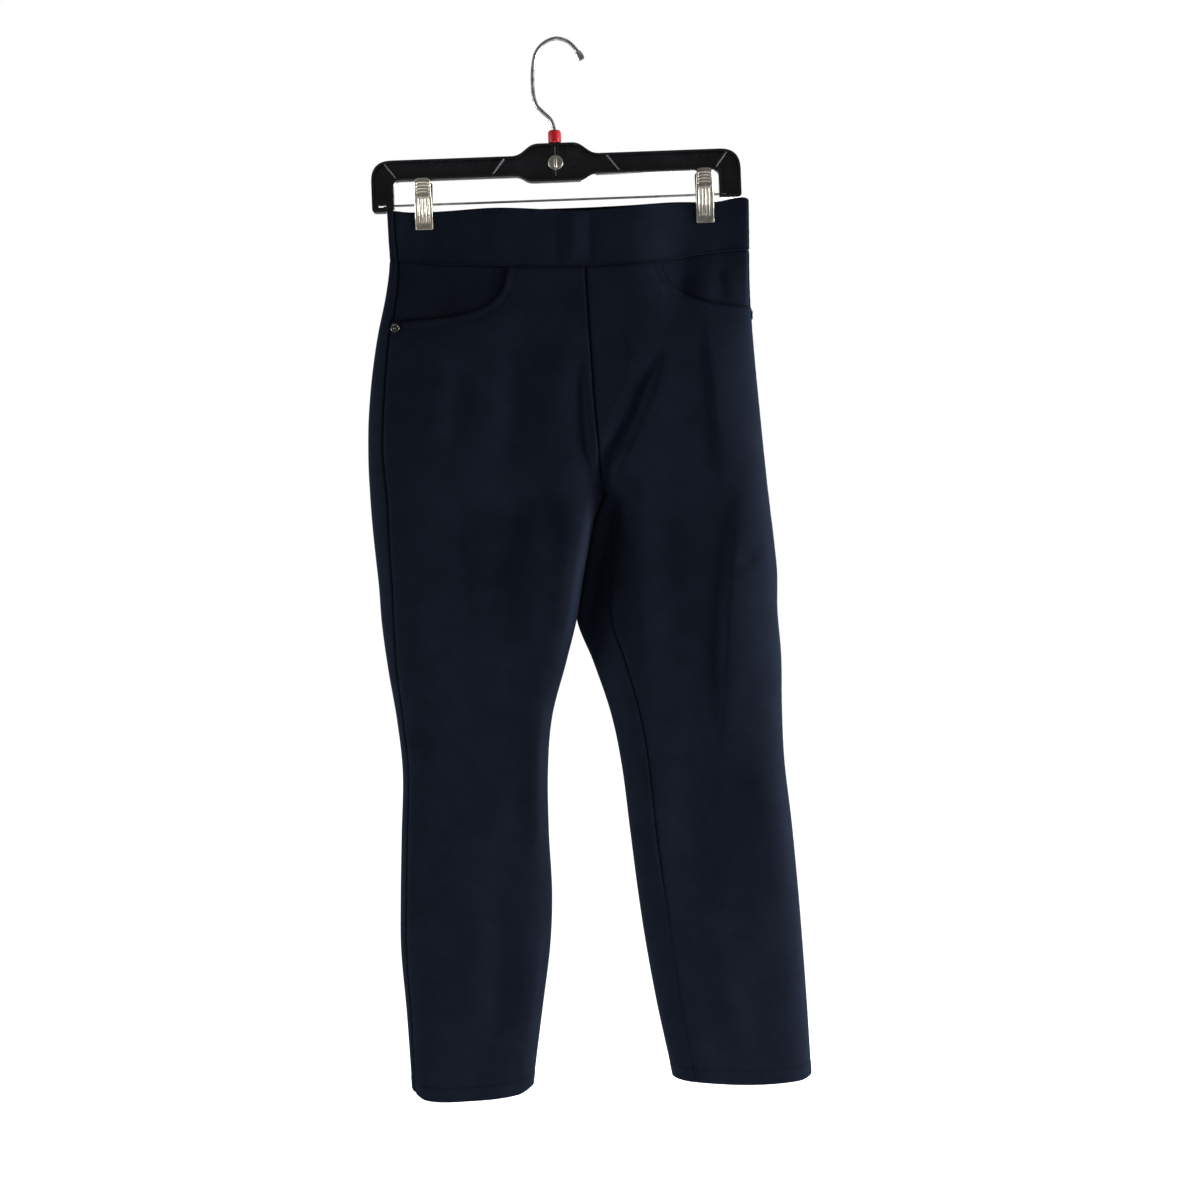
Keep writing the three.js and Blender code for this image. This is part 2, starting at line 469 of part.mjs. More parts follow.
// ---- the hanger ----
// The outline of the moulding, drawn inwards by "inset".
function hangerOutline(inset) {
  const half = HANGER_HALF - inset;
  const armInner = HANGER_HALF - ARM_WIDTH + inset;
  const [top, bottom] = [BAR_TOP - inset, BAR_BOTTOM + inset];
  const [hubTop, hubBottom] = [HUB_TOP - inset, HUB_BOTTOM + inset];
  const [rightFoot, leftFoot] = [RIGHT_FOOT + inset, LEFT_FOOT + inset];
  const corner = CORNER - inset;
  const path = new THREE.Shape();
  path.moveTo(HANGER_X - half, rightFoot + 4);
  path.lineTo(HANGER_X - half, top - corner);
  path.quadraticCurveTo(HANGER_X - half, top, HANGER_X - half + corner, top);
  path.lineTo(HANGER_X - 42, top);
  path.bezierCurveTo(HANGER_X - 30, top, HANGER_X - 28, hubTop, HANGER_X - 16, hubTop);
  path.lineTo(HANGER_X + 16, hubTop);
  path.bezierCurveTo(HANGER_X + 28, hubTop, HANGER_X + 30, top, HANGER_X + 42, top);
  path.lineTo(HANGER_X + half - corner, top);
  path.quadraticCurveTo(HANGER_X + half, top, HANGER_X + half, top - corner);
  path.lineTo(HANGER_X + half, leftFoot + 3);
  path.quadraticCurveTo(HANGER_X + half, leftFoot, HANGER_X + half - 3, leftFoot);
  path.lineTo(HANGER_X + armInner, leftFoot);
  path.lineTo(HANGER_X + armInner, bottom - 6);
  path.quadraticCurveTo(HANGER_X + armInner, bottom, HANGER_X + armInner - 6, bottom);
  path.lineTo(HANGER_X + 40, bottom);
  path.bezierCurveTo(HANGER_X + 31, bottom, HANGER_X + 31, hubBottom, HANGER_X + 21, hubBottom);
  path.lineTo(HANGER_X - 21, hubBottom);
  path.bezierCurveTo(HANGER_X - 31, hubBottom, HANGER_X - 31, bottom, HANGER_X - 40, bottom);
  path.lineTo(HANGER_X - armInner + 6, bottom);
  path.quadraticCurveTo(HANGER_X - armInner, bottom, HANGER_X - armInner, bottom - 6);
  path.lineTo(HANGER_X - armInner, leftFoot);
  path.lineTo(HANGER_X - armInner - NOTCH, leftFoot);
  path.lineTo(HANGER_X - armInner - NOTCH, rightFoot);
  path.lineTo(HANGER_X - half + 4, rightFoot);
  path.quadraticCurveTo(HANGER_X - half, rightFoot, HANGER_X - half, rightFoot + 4);
  return path;
}

// A slanting rib between two points of the channel.
function rib(x0, z0, x1, z1) {
  const length = Math.hypot(x1 - x0, z1 - z0);
  const geometry = new THREE.BoxGeometry(1.6, HANGER_DEPTH - 1, length);
  return geometry.rotateY(Math.atan2(x1 - x0, z1 - z0)).translate((x0 + x1) / 2, 0, (z0 + z1) / 2);
}

function hangerBody() {
  const half = HANGER_DEPTH / 2;
  let body = solid(acrossY(hangerOutline(0), -half, half, 6));
  for (const [from, to] of [[-half - 1, -WEB / 2], [WEB / 2, half + 1]]) {
    body = body.subtract(solid(acrossY(hangerOutline(RIM), from, to, 6)));
  }
  const reach = RIM / 2;
  for (const way of [-1, 1]) {
    const inner = solid(rib(HANGER_X + way * 49, BAR_TOP - reach, HANGER_X + way * 62, BAR_BOTTOM + reach));
    const outer = solid(rib(HANGER_X + way * 165, BAR_TOP - 3, HANGER_X + way * 153, BAR_BOTTOM + reach));
    body = body.add(inner).add(outer);
  }
  const armMiddle = HANGER_X - HANGER_HALF + ARM_WIDTH / 2;
  const bossHeight = BOSS_TOP - RIGHT_FOOT - RIM;
  const boss = new THREE.BoxGeometry(ARM_WIDTH - RIM, BOSS_DEPTH, bossHeight);
  body = body.add(solid(boss.translate(armMiddle, 0, BOSS_TOP - bossHeight / 2)));
  const slot = new THREE.BoxGeometry(SLOT.width, HANGER_DEPTH + 2, SLOT.height).translate(SLOT.x, 0, SLOT.z);
  const notch = new THREE.BoxGeometry(NOTCH + RIM, HANGER_DEPTH + 2, 10);
  notch.translate(HANGER_X - HANGER_HALF + ARM_WIDTH - NOTCH / 2 + RIM / 2, 0, LEFT_FOOT - 5);
  body = body.subtract(solid(slot)).subtract(solid(notch));
  const bore = rodAlongX(ROD + RUN, HANGER_X - ROD_HALF - RUN, HANGER_X + ROD_HALF + RUN, 0, ROD_Z);
  body = body.subtract(solid(bore));
  const shaft = new THREE.CylinderGeometry(WIRE + RUN, WIRE + RUN, 34, 16).rotateX(Math.PI / 2);
  body = body.subtract(solid(shaft.translate(HANGER_X, 0, HUB_TOP + 1 - 17)));
  return body;
}

function hook() {
  const route = new THREE.CatmullRomCurve3(HOOK_ROUTE.map(([x, z]) => new THREE.Vector3(x, 0, z)));
  const round = new THREE.Shape().absarc(0, 0, WIRE, 0, 2 * Math.PI, false);
  const wire = new THREE.ExtrudeGeometry(round, { steps: 48, extrudePath: route, curveSegments: 5, bevelEnabled: false });
  const tip = new THREE.CapsuleGeometry(2.9, 6, 5, 12).rotateX(Math.PI / 2).rotateY(-30 * DEG);
  return solid(wire).add(solid(tip.translate(23.4, 0, -16)));
}

function hookCollar() {
  const [bore, radius, half, round] = [WIRE + RUN, 6.3, 6.3, 2.2];
  const profile = [[bore, -half], [radius - round, -half], [radius - 0.5, -half + 0.6], [radius, -half + round],
    [radius, half - round], [radius - 0.5, half - 0.6], [radius - round, half], [bore, half], [bore, -half]];
  const geometry = new THREE.LatheGeometry(profile.map(([r, h]) => new THREE.Vector2(r, h)), 24);
  return geometry.rotateX(Math.PI / 2).translate(HANGER_X, 0, HUB_TOP + RUN + half);
}

function hubPin() {
  const profile = [[0, 0], [PIN_RADIUS, 0], [PIN_RADIUS, 1.2], [PIN_RADIUS - 0.8, 2], [PIN_RADIUS - 3, 2.8], [0, 3.2]];
  const geometry = new THREE.LatheGeometry(profile.map(([r, h]) => new THREE.Vector2(r, h)), 28);
  return geometry.rotateX(Math.PI).translate(HANGER_X, -WIRE - RUN, PIN_Z);
}

// One stamped plate of a clip with its two ears on the rod; face is -1 for the front, 1 for the back.
function clipPlate(clip, face) {
  const jaw = PRESSED + RUN;
  const line = [[11.5, CLIP_TOP], [10.6, -136], [7.6, -147], [5.6, -156], [jaw + 0.4, -165], [jaw, CLIP_BOTTOM]];
  const sheet = new THREE.Shape();
  line.forEach(([y, z], k) => (k ? sheet.lineTo(face * y, z) : sheet.moveTo(face * y, z)));
  [...line].reverse().forEach(([y, z]) => sheet.lineTo(face * (y + CLIP_SHEET), z));
  const ear = new THREE.Shape();
  const earLine = [[8.4, -146.5], [-1, -150.5], [-2.8, -152.5], [-2.8, -155.5], [-1, -157.5], [5.6, -159]];
  earLine.forEach(([y, z], k) => (k ? ear.lineTo(face * y, z) : ear.moveTo(face * y, z)));
  const half = clip.width / 2;
  const shift = face < 0 ? 0 : CLIP_SHEET + RUN;
  let plate = solid(acrossX(sheet, clip.x - half, clip.x + half));
  for (const [from, to] of [[-half + shift, -half + shift + CLIP_SHEET], [half - shift - CLIP_SHEET, half - shift]]) {
    plate = plate.add(solid(acrossX(ear, clip.x + from, clip.x + to)));
  }
  return plate.subtract(solid(rodAlongX(ROD + RUN, clip.x - half - 1, clip.x + half + 1, 0, ROD_Z)));
}

// The torsion spring's coils on the rod, as a plain sleeve.
function clipSpring(clip) {
  const [bore, radius, half] = [ROD + RUN, ROD + RUN + 1.6, clip.width / 2 - 3.2];
  const profile = [[bore, -half], [radius, -half], [radius, half], [bore, half], [bore, -half]];
  const geometry = new THREE.LatheGeometry(profile.map(([r, h]) => new THREE.Vector2(r, h)), 20);
  return geometry.rotateZ(Math.PI / 2).translate(clip.x, 0, ROD_Z);
}

// ---- the whole part ----
const part = new THREE.Group();
for (const side of ['right', 'left']) {
  const front = solid(legPanel(side, 'front')).subtract(scoopPrism(side, 0));
  part.add(piece(`front_leg_${side}`, front, MATERIALS.cloth));
  part.add(piece(`back_leg_${side}`, legPanel(side, 'back'), MATERIALS.cloth));
  part.add(piece(`pocket_facing_${side}`, pocketFacing(side), MATERIALS.cloth));
}
part.add(piece('waistband_front', waistband('front'), MATERIALS.cloth));
part.add(piece('waistband_back', waistband('back'), MATERIALS.cloth));
part.add(piece('rivet_right', rivet('right', angleAt(section('right', -274.5), 17), -274.5, 0.6), MATERIALS.nickel));
part.add(piece('rivet_left', rivet('left', angleAt(section('left', -273), 2), -273, 0.3), MATERIALS.nickel));

part.add(piece('hanger_body', hangerBody(), MATERIALS.plastic));
part.add(piece('hook', hook(), MATERIALS.chrome));
part.add(piece('hook_collar', hookCollar(), MATERIALS.red));
part.add(piece('hub_pin', hubPin(), MATERIALS.nickel));
part.add(piece('clip_rod', rodAlongX(ROD, HANGER_X - ROD_HALF, HANGER_X + ROD_HALF, 0, ROD_Z, 16), MATERIALS.nickel));
for (const clip of CLIP_ROWS) {
  part.add(piece(`clip_${clip.name}_front`, clipPlate(clip, -1), MATERIALS.nickel));
  part.add(piece(`clip_${clip.name}_back`, clipPlate(clip, 1), MATERIALS.nickel));
  part.add(piece(`clip_${clip.name}_spring`, clipSpring(clip), MATERIALS.nickel));
}

export default part;
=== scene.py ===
# Pull-on knit leggings that hang by the waistband from a 356 mm clip hanger.
# Tables are in millimetres and meshes in metres. +Z is up, the front faces -Y and +X is on the wearer's left.
# "right" and "left" are the wearer's. The origin is the seat inside the top of the hanger's hook.
import math

import bmesh
import bpy
import numpy as np
from mathutils import Matrix, Vector


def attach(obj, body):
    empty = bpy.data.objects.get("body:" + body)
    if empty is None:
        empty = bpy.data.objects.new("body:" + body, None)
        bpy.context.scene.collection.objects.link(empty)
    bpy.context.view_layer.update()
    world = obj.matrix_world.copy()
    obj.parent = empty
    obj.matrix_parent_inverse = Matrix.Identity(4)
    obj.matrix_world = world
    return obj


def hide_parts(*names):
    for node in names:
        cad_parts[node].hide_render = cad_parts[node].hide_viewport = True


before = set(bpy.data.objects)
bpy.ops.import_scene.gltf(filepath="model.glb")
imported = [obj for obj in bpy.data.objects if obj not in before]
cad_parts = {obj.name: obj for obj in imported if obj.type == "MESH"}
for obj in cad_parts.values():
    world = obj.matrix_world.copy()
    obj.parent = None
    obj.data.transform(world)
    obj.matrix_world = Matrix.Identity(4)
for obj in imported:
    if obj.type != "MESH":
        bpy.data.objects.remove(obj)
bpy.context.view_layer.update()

MM = 0.001


def table(columns, *rows):
    """Rows of numbers under named columns."""
    return dict(zip(columns.split(), np.array(rows, float).T))


# ---- the camera: level with the middle of the garment, turned a little about its own axis ----
VIEW_MIDDLE = Vector((0.0234, 0, -0.5405))
VIEW_DISTANCE = 2.2
VIEW_HALF_WIDTH = 0.578
VIEW_ROLL = math.radians(2.1)
SENSOR = 36


def make_camera():
    camera = bpy.data.objects.new("camera", bpy.data.cameras.new("camera"))
    bpy.context.scene.collection.objects.link(camera)
    right = Vector((math.cos(VIEW_ROLL), 0, -math.sin(VIEW_ROLL)))
    up = Vector((math.sin(VIEW_ROLL), 0, math.cos(VIEW_ROLL)))
    back = Vector((0, -1, 0))
    camera.matrix_world = Matrix((right, up, back)).transposed().to_4x4()
    camera.location = VIEW_MIDDLE + back * VIEW_DISTANCE
    camera.data.sensor_width = SENSOR
    camera.data.lens = SENSOR / 2 * VIEW_DISTANCE / VIEW_HALF_WIDTH
    camera.data.clip_end = 60
    bpy.context.scene.camera = camera


# ---- cloth: sizes ----
KNIT = 1.3  # wall of the knit
BAND = 2.2  # wall of the waistband, doubled over its elastic
HEM = 2.6  # wall of the turned-up hem
HEM_DEPTH = 18
HEM_LINE = 12.5  # how high the hem is stitched
SEAM = -0.15  # gap between neighbouring panels; below 0 they overlap
CROTCH_Z = -439
FOLD_RADIUS = 5  # of the side folds
FLATTEN = 0.15  # how much flatter than an ellipse the sections are
PRESSED = BAND + 0.2  # half depth under the clips
FACING_LAP = 12  # how far the facing goes on under the scooped edge
FACING_GAP = 0.15
POCKET_GAPE = 1.4
INNER_DROP = 13  # how far the left leg's cloth sinks beside the crotch
STITCH_IN = 6.4  # from the scooped edge to its stitching
INWARD = {"right": 1, "left": -1}  # the way along X from a side fold to the middle
# Heights at which columns of the cloth are told apart.
BAND_Z = -190.0
WAIST_Z = -215.0
POCKET_Z = -226.0
HEM_Z = -1005.0
# A seed for each uneven stretch: the legs' and the band's two faces, then the seams.
SEEDS = {
    "front": 11, "back": 16, "band front": 41, "band back": 47, "right": 60, "left": 70, "centre": 80,
    "band right": 81, "band left": 82, "band foot": 83, "waist": 90,
}

# Sections of the body from the waist down: the outline, the centre seam, how much of half an ellipse
# each half takes up, the depths, and how far the side seams sit in from the outline.
BODY = table(
    "z right left seam arc front back right_seam left_seam",
    (-160, -168.0, 181.0, 20.0, 90, 9.5, 10.0, 7, 0),
    (-185, -167.5, 180.3, 20.5, 90, 11.5, 12.0, 7, 0),
    (-210, -167.3, 179.7, 21.0, 90, 13.5, 13.5, 8, 0),
    (-240, -172.0, 179.0, 21.6, 90, 17.0, 17.0, 10, 0),
    (-280, -181.5, 179.4, 22.6, 90, 20.5, 20.5, 13, 0),
    (-320, -188.5, 181.2, 24.0, 90, 23.0, 23.5, 15, 0),
    (-360, -193.0, 183.6, 25.6, 97, 25.0, 26.0, 16, 0),
    (-390, -194.4, 185.4, 26.9, 120, 26.0, 27.5, 16, 0),
    (-410, -194.6, 186.7, 28.0, 143, 26.5, 28.0, 17, 0),
    (-427, -194.2, 187.9, 29.5, 163, 26.5, 28.0, 18, 0),
    (-439, -193.9, 188.7, 31.0, 180, 26.5, 28.0, 18.5, 0),
    (-490, -191.0, 193.0, 38.0, 180, 27.0, 27.5, 16, 0),
)

# Sections of each leg from just above the crotch down: the outline, the depths, how far back each edge
# sits, and how far the side seam and the inseam sit in from the edges.
LEG = {
    "right": table(
        "z outer inner front back y_outer y_inner side inseam",
        (-400, -194.5, 33.0, 26.3, 28.0, 0, 0, 17, 0),
        (-439, -193.9, 31.0, 26.5, 28.0, 0, 0, 18.5, 0),
        (-449, -193.5, 26.0, 26.5, 28.0, 0, -2, 18, -2),
        (-462, -192.9, 21.0, 26.5, 28.0, 0, -4.5, 17.5, -4),
        (-476, -192.0, 17.5, 26.7, 27.7, 0, -7, 17, -6),
        (-490, -191.0, 14.5, 27.0, 27.5, 0, -8.5, 16, -8),
        (-520, -188.8, 8.0, 27.0, 27.0, 0, -9, 15, -10),
        (-556, -187.3, 1.0, 26.0, 27.0, 0, -8, 13.5, -12),
        (-600, -182.8, -11.5, 25.0, 26.0, 0, -4, 10, -14),
        (-650, -176.0, -26.5, 23.5, 25.0, 0, -1, 7.5, -14),
        (-700, -172.5, -32.5, 22.5, 24.0, 0, 0, 7, -14),
        (-760, -175.8, -34.0, 21.5, 23.5, 0, 1, 7, -13),
        (-820, -179.0, -33.0, 21.0, 23.0, 1, 2, 7, -12),
        (-870, -180.4, -36.5, 20.5, 22.0, 1, 2, 6.5, -11),
        (-930, -177.2, -46.0, 20.0, 21.0, 1, 2, 5.5, -10),
        (-1000, -174.8, -57.0, 19.5, 20.0, 1, 2, 4, -9),
        (-1030, -174.0, -60.0, 19.0, 19.5, 1, 2, 4, -9),
    ),
    "left": table(
        "z outer inner front back y_outer y_inner side inseam",
        (-400, 186.0, 32.5, 26.3, 28.0, 0, 0, 0, 0),
        (-439, 188.7, 30.4, 26.5, 28.0, 0, 0, 0, 0),
        (-449, 189.6, 25.2, 26.5, 28.0, 0, 2, 0, 5),
        (-462, 190.6, 19.9, 26.5, 28.0, 0, 4.5, 0, 12),
        (-476, 191.9, 16.0, 26.7, 27.7, 0, 7, 0, 19),
        (-490, 193.0, 12.6, 27.0, 27.5, 0, 9.5, 0, 24),
        (-520, 194.8, 6.0, 27.0, 27.0, 0, 10, 0, 28),
        (-556, 193.8, 0.0, 26.0, 27.0, 0, 8, 0, 33),
        (-600, 195.8, 15.0, 25.0, 26.0, 0, 3, 0, 31),
        (-650, 194.7, 30.0, 24.0, 25.0, 0, 1, 0, 28),
        (-700, 195.2, 38.5, 23.0, 24.0, 0, 0, 0, 26.5),
        (-760, 200.0, 44.0, 22.5, 23.5, 0, 0, 0, 25),
        (-820, 203.6, 49.5, 22.0, 23.0, 0, 0, 0, 25.5),
        (-870, 205.9, 55.2, 21.5, 22.5, 0, 0, 0, 25),
        (-930, 208.2, 64.0, 21.0, 21.5, 1, 0, 0, 23),
        (-1000, 210.2, 76.5, 20.5, 20.5, 1, 0, 0, 21),
        (-1030, 211.0, 81.0, 20.0, 20.0, 1, 0, 0, 20),
    ),
}

# Edges that dip and rise across the garment, as heights along X.
BAND_TOP = {
    "front": table(
        "x z", (-168, -157.8), (-142, -161), (-60, -160.6), (25, -166), (100, -161.3), (148, -161.5),
        (170, -158.2), (178, -159.2), (181, -162),
    ),
    "back": table(
        "x z", (-168, -157.8), (-142, -161), (-60, -160.2), (25, -160.5), (100, -159.5), (148, -161),
        (170, -158.4), (178, -159.2), (181, -162),
    ),
}
BAND_SEAM = table(
    "x z", (-167, -206), (-122, -212), (-43, -218.5), (25, -220.5), (96, -217), (135, -211.5), (180, -208.5)
)
HEM_EDGE = {
    "right": table("x z", (-175, -1003), (-160, -1013), (-118, -1015), (-72, -1011), (-57, -1004)),
    "left": table("x z", (76, -1000), (95, -1004), (150, -1009), (198, -1007), (211, -1003)),
}
CLIPS = table("x width top bottom", (-132.3, 16.6, -130.2, -178.4), (138.3, 16.6, -130.2, -181.4))
CLIP_BOTTOM = -179  # where the jaws press the band

# Scooped edge of each front pocket: a curve from the waistband's seam to the side seam.
SCOOP = {
    "right": table("x z", (-52.5, -219), (-58, -262), (-84, -266), (-170, -268)),
    "left": table("x z", (92, -219), (99, -252), (125, -262), (182, -266)),
}

# Creases of the hanging cloth, as valleys (+) or ridges (-) along a curve through three places. "west" and
# "east" are the widths of the two flanks, and "leg" is -1 or 1 for one on the right or left half alone.
CREASES = {
    "front": table(
        "leg depth west east x0 z0 x1 z1 x2 z2",
        (0, 2.0, 10, 3, 14, -300, 14, -370, 21, -452),
        (0, -0.9, 3, 4, 24, -360, 24.5, -410, 25, -452),
        (0, 4.2, 34, 20, -46, -262, -49, -345, -51, -440),
        (0, -1.2, 16, 12, -66, -280, -70, -340, -74, -420),
        (0, 1.7, 12, 12, -99, -296, -106, -350, -113, -402),
        (-1, 5.2, 34, 22, -45, -392, -42, -520, -64, -720),
        (-1, -5.6, 34, 5, 19, -440, 3, -510, -20, -610),
        (-1, -4.4, 30, 4, -22, -610, -36, -700, -38, -810),
        (-1, -2.0, 26, 5, -40, -830, -50, -900, -62, -985),
        (-1, 2.0, 12, 12, -114, -440, -106, -490, -95, -544),
        (-1, -2.0, 12, 12, -84, -460, -86, -505, -88, -556),
        (-1, 2.8, 17, 14, -58, -640, -60, -720, -62, -810),
        (-1, -2.0, 22, 22, -118, -740, -112, -860, -108, -980),
        (-1, 1.6, 12, 16, -80, -800, -84, -880, -92, -970),
        (0, 3.4, 12, 3.2, 96, -292, 60, -371, 27, -446),
        (0, 2.4, 9, 3.2, 60, -370, 38, -406, 30, -470),
        (0, -2.2, 5, 24, 100, -306, 72, -370, 36, -440),
        (0, -0.5, 6, 5, 82, -312, 62, -350, 36, -388),
        (0, 1.6, 9, 4, 40, -392, 34, -424, 29, -468),
        (1, 1.2, 6, 4, 160, -452, 141, -545, 135, -680),
        (1, -4.0, 7, 36, 166, -430, 146, -545, 140, -720),
        (1, 0.8, 5, 4, 141, -517, 157, -514, 174, -503),
        (1, -0.8, 5, 6, 166, -511, 180, -503, 189, -486),
        (1, 0.9, 9, 6, 151, -219, 150, -240, 152, -264),
        (1, -0.4, 9, 8, 133, -224, 133, -240, 133, -260),
        (1, 0.9, 6, 7, 108, -230, 112, -243, 112, -256),
        (1, -2.2, 5, 34, 136, -272, 140, -350, 146, -452),
        (1, 2.0, 18, 14, 84, -440, 90, -520, 92, -610),
        (1, -2.6, 12, 24, 56, -440, 62, -540, 72, -650),
        (1, 2.8, 24, 22, 106, -650, 103, -765, 98, -870),
        (1, -2.6, 20, 20, 172, -680, 180, -760, 188, -850),
        (1, -1.8, 18, 20, 128, -840, 134, -920, 140, -985),
    ),
    "back": table(
        "leg depth west east x0 z0 x1 z1 x2 z2",
        (0, 3.4, 9, 12, -66, -326, -34, -374, 6, -428),
        (0, -2.4, 16, 9, -84, -338, -50, -392, -12, -446),
        (0, 1.3, 8, 8, 12, -236, 14, -310, 18, -400),
        (-1, 3.0, 16, 14, -132, -540, -112, -630, -82, -714),
        (-1, -1.5, 14, 12, -60, -470, -58, -560, -72, -640),
        (-1, 1.6, 7, 7, -154, -742, -118, -754, -78, -746),
        (-1, 1.2, 6, 6, -142, -775, -112, -783, -82, -777),
        (-1, 1.3, 20, 20, -100, -820, -108, -890, -112, -970),
        (0, 3.4, 12, 9, 114, -334, 86, -382, 46, -434),
        (0, -2.4, 9, 16, 132, -350, 104, -398, 64, -452),
        (0, 1.3, 8, 8, 34, -236, 35, -310, 34, -400),
        (1, 3.0, 14, 16, 152, -544, 132, -630, 102, -704),
        (1, -1.5, 12, 14, 76, -480, 78, -560, 92, -650),
        (1, 1.6, 7, 7, 76, -738, 118, -750, 164, -741),
        (1, 1.2, 6, 6, 92, -771, 122, -779, 154, -772),
        (1, 1.3, 20, 20, 134, -820, 142, -890, 150, -970),
    ),
    "band front": table(
        "leg depth west east x0 z0 x1 z1 x2 z2",
        (0, -1.7, 7, 9, 10.5, -158, 10, -190, 9, -224),
        (0, 0.9, 4, 3.5, -3, -160, -3.5, -190, -4, -222),
        (0, 0.6, 5, 4, 28, -160, 27, -190, 25, -224),
        (0, -0.5, 9, 9, -70, -162, -76, -186, -80, -216),
        (0, -0.5, 9, 9, 84, -162, 88, -186, 92, -216),
    ),
    "band back": table(
        "leg depth west east x0 z0 x1 z1 x2 z2",
        (0, -1.3, 9, 9, 30, -158, 30, -190, 31, -224),
        (0, 0.8, 5, 5, 16, -160, 15, -190, 15, -224),
        (0, -0.6, 10, 10, -66, -162, -70, -186, -76, -216),
        (0, -0.6, 10, 10, 90, -162, 92, -186, 96, -216),
    ),
}


# ---- cloth: its surface ----
def mix(a, b, t):
    return a + (b - a) * t


def ease(start, end, value):
    """Smooth step from 0 at start to 1 at end."""
    t = np.clip((np.asarray(value, float) - start) / (end - start), 0, 1)
    return t * t * (3 - 2 * t)


def bell(distance, width):
    """1 at the middle, falling away over "width" on both sides."""
    return np.exp(-((distance / width) ** 2))


def unit(vectors):
    return vectors / np.linalg.norm(vectors, axis=-1, keepdims=True)


def run_along(points):
    """How far along a line of points each one lies."""
    return np.cumsum(np.linalg.norm(np.diff(points, axis=0, prepend=points[:1]), axis=-1), axis=0)


def along(rows, key, column, at):
    """Smooth value of a table's column between its rows, by a cubic through the neighbouring rows."""
    knots, values = rows[key], rows[column]
    if knots[0] > knots[-1]:
        knots, values = knots[::-1], values[::-1]
    at = np.asarray(at, float)
    k = np.clip(np.searchsorted(knots, at, side="right") - 1, 0, len(knots) - 2)
    before, after = np.maximum(k - 1, 0), np.minimum(k + 2, len(knots) - 1)
    span = knots[k + 1] - knots[k]
    slope_a = (values[k + 1] - values[before]) / (knots[k + 1] - knots[before]) * span
    slope_b = (values[after] - values[k]) / (knots[after] - knots[k]) * span
    t = np.clip((at - knots[k]) / span, 0, 1)
    t2, t3 = t * t, t * t * t
    return (
        (2 * t3 - 3 * t2 + 1) * values[k]
        + (t3 - 2 * t2 + t) * slope_a
        + (3 * t2 - 2 * t3) * values[k + 1]
        + (t3 - t2) * slope_b
    )


def section(side, z):
    """The numbers of one half's section at each height."""
    upper = np.asarray(z) > CROTCH_Z

    def pick(body_column, leg_column):
        above = along(BODY, "z", body_column, z) if body_column else 0.0
        return np.where(upper, above, along(LEG[side], "z", leg_column, z))

    return {
        "outer": pick(side, "outer"),
        "inner": pick("seam", "inner") - INWARD[side] * SEAM / 2,
        "arc": np.where(upper, np.clip(along(BODY, "z", "arc", z), 90, 180), 180.0),
        "front": pick("front", "front"),
        "back": pick("back", "back"),
        "y_outer": pick(None, "y_outer"),
        "y_inner": pick(None, "y_inner"),
        "side": pick(f"{side}_seam", "side"),
        "inseam": pick(None, "inseam"),
    }


def pinch(x, z):
    """How hard the clips press the two walls together, 0 to 1."""
    press = 0
    for clip_x, width in zip(CLIPS["x"], CLIPS["width"]):
        press = np.maximum(press, 1 - ease(width / 2 + 6, width / 2 + 66, np.abs(x - clip_x)))
    return press * ease(-300, CLIP_BOTTOM, z)


def reach_of(s):
    return (s["inner"] - s["outer"]) / (1 - np.cos(np.radians(s["arc"])))


def bare_skin(side, angle, z):
    """Points of the smooth outer face and their distance from the nearer side fold.

    The angle runs from 0 at the outer fold, forward (+) or backward (-), round to the inner edge."""
    s = section(side, z)
    turned = (np.asarray(angle) + 180) % 360 - 180
    psi = np.radians(np.abs(turned))
    reach = reach_of(s)
    x = s["outer"] + reach * (1 - np.cos(psi))
    from_edge = np.abs(reach) * np.minimum(1 - np.cos(psi), 1 + np.cos(psi))
    rounded = np.sqrt(1 - (1 - np.minimum(1, from_edge / FOLD_RADIUS)) ** 2)
    bulge = (np.sin(psi) + FLATTEN * np.sin(3 * psi)) / (1 - FLATTEN)
    forward = turned >= 0
    depth = np.where(forward, s["front"], s["back"])
    free = FOLD_RADIUS * rounded + (depth - FOLD_RADIUS) * bulge
    half = mix(free, np.minimum(free, PRESSED), pinch(x, z))
    middle = mix(s["y_outer"], s["y_inner"], ease(0.45, 1, (x - s["outer"]) / (s["inner"] - s["outer"])))
    y = middle + np.where(forward, -half, half)
    return np.stack([x, y, z + 0 * x], -1), from_edge


def outward_at(side, angle, z):
    """Level unit vectors that point out of the cloth."""
    step = 0.4
    tangent = bare_skin(side, angle + step, z)[0] - bare_skin(side, angle - step, z)[0]
    return unit(INWARD[side] * np.stack([tangent[..., 1], -tangent[..., 0], 0 * tangent[..., 0]], -1))


def angle_in(s, offset, from_inner=False):
    """The angle of a place that lies "offset" in from the outer fold, minus behind it."""
    angle = np.degrees(np.arccos(np.clip(1 - np.abs(offset) / np.abs(reach_of(s)), -1, 1)))
    return 180 - np.sign(offset) * angle if from_inner else np.sign(offset) * angle


def angle_of(side, face, x, z):
    """The angle of the place at this X and height on the front or the back."""
    s = section(side, z)
    angle = np.degrees(np.arccos(np.clip(1 - (x - s["outer"]) / reach_of(s), -1, 1)))
    return angle if face == "front" else -angle


def gap_angle(side, angle, z):
    """How far the angle turns over half a seam's gap."""
    step = 0.5
    ahead = bare_skin(side, angle + step, z)[0] - bare_skin(side, angle - step, z)[0]
    return SEAM * step / np.linalg.norm(ahead, axis=-1)


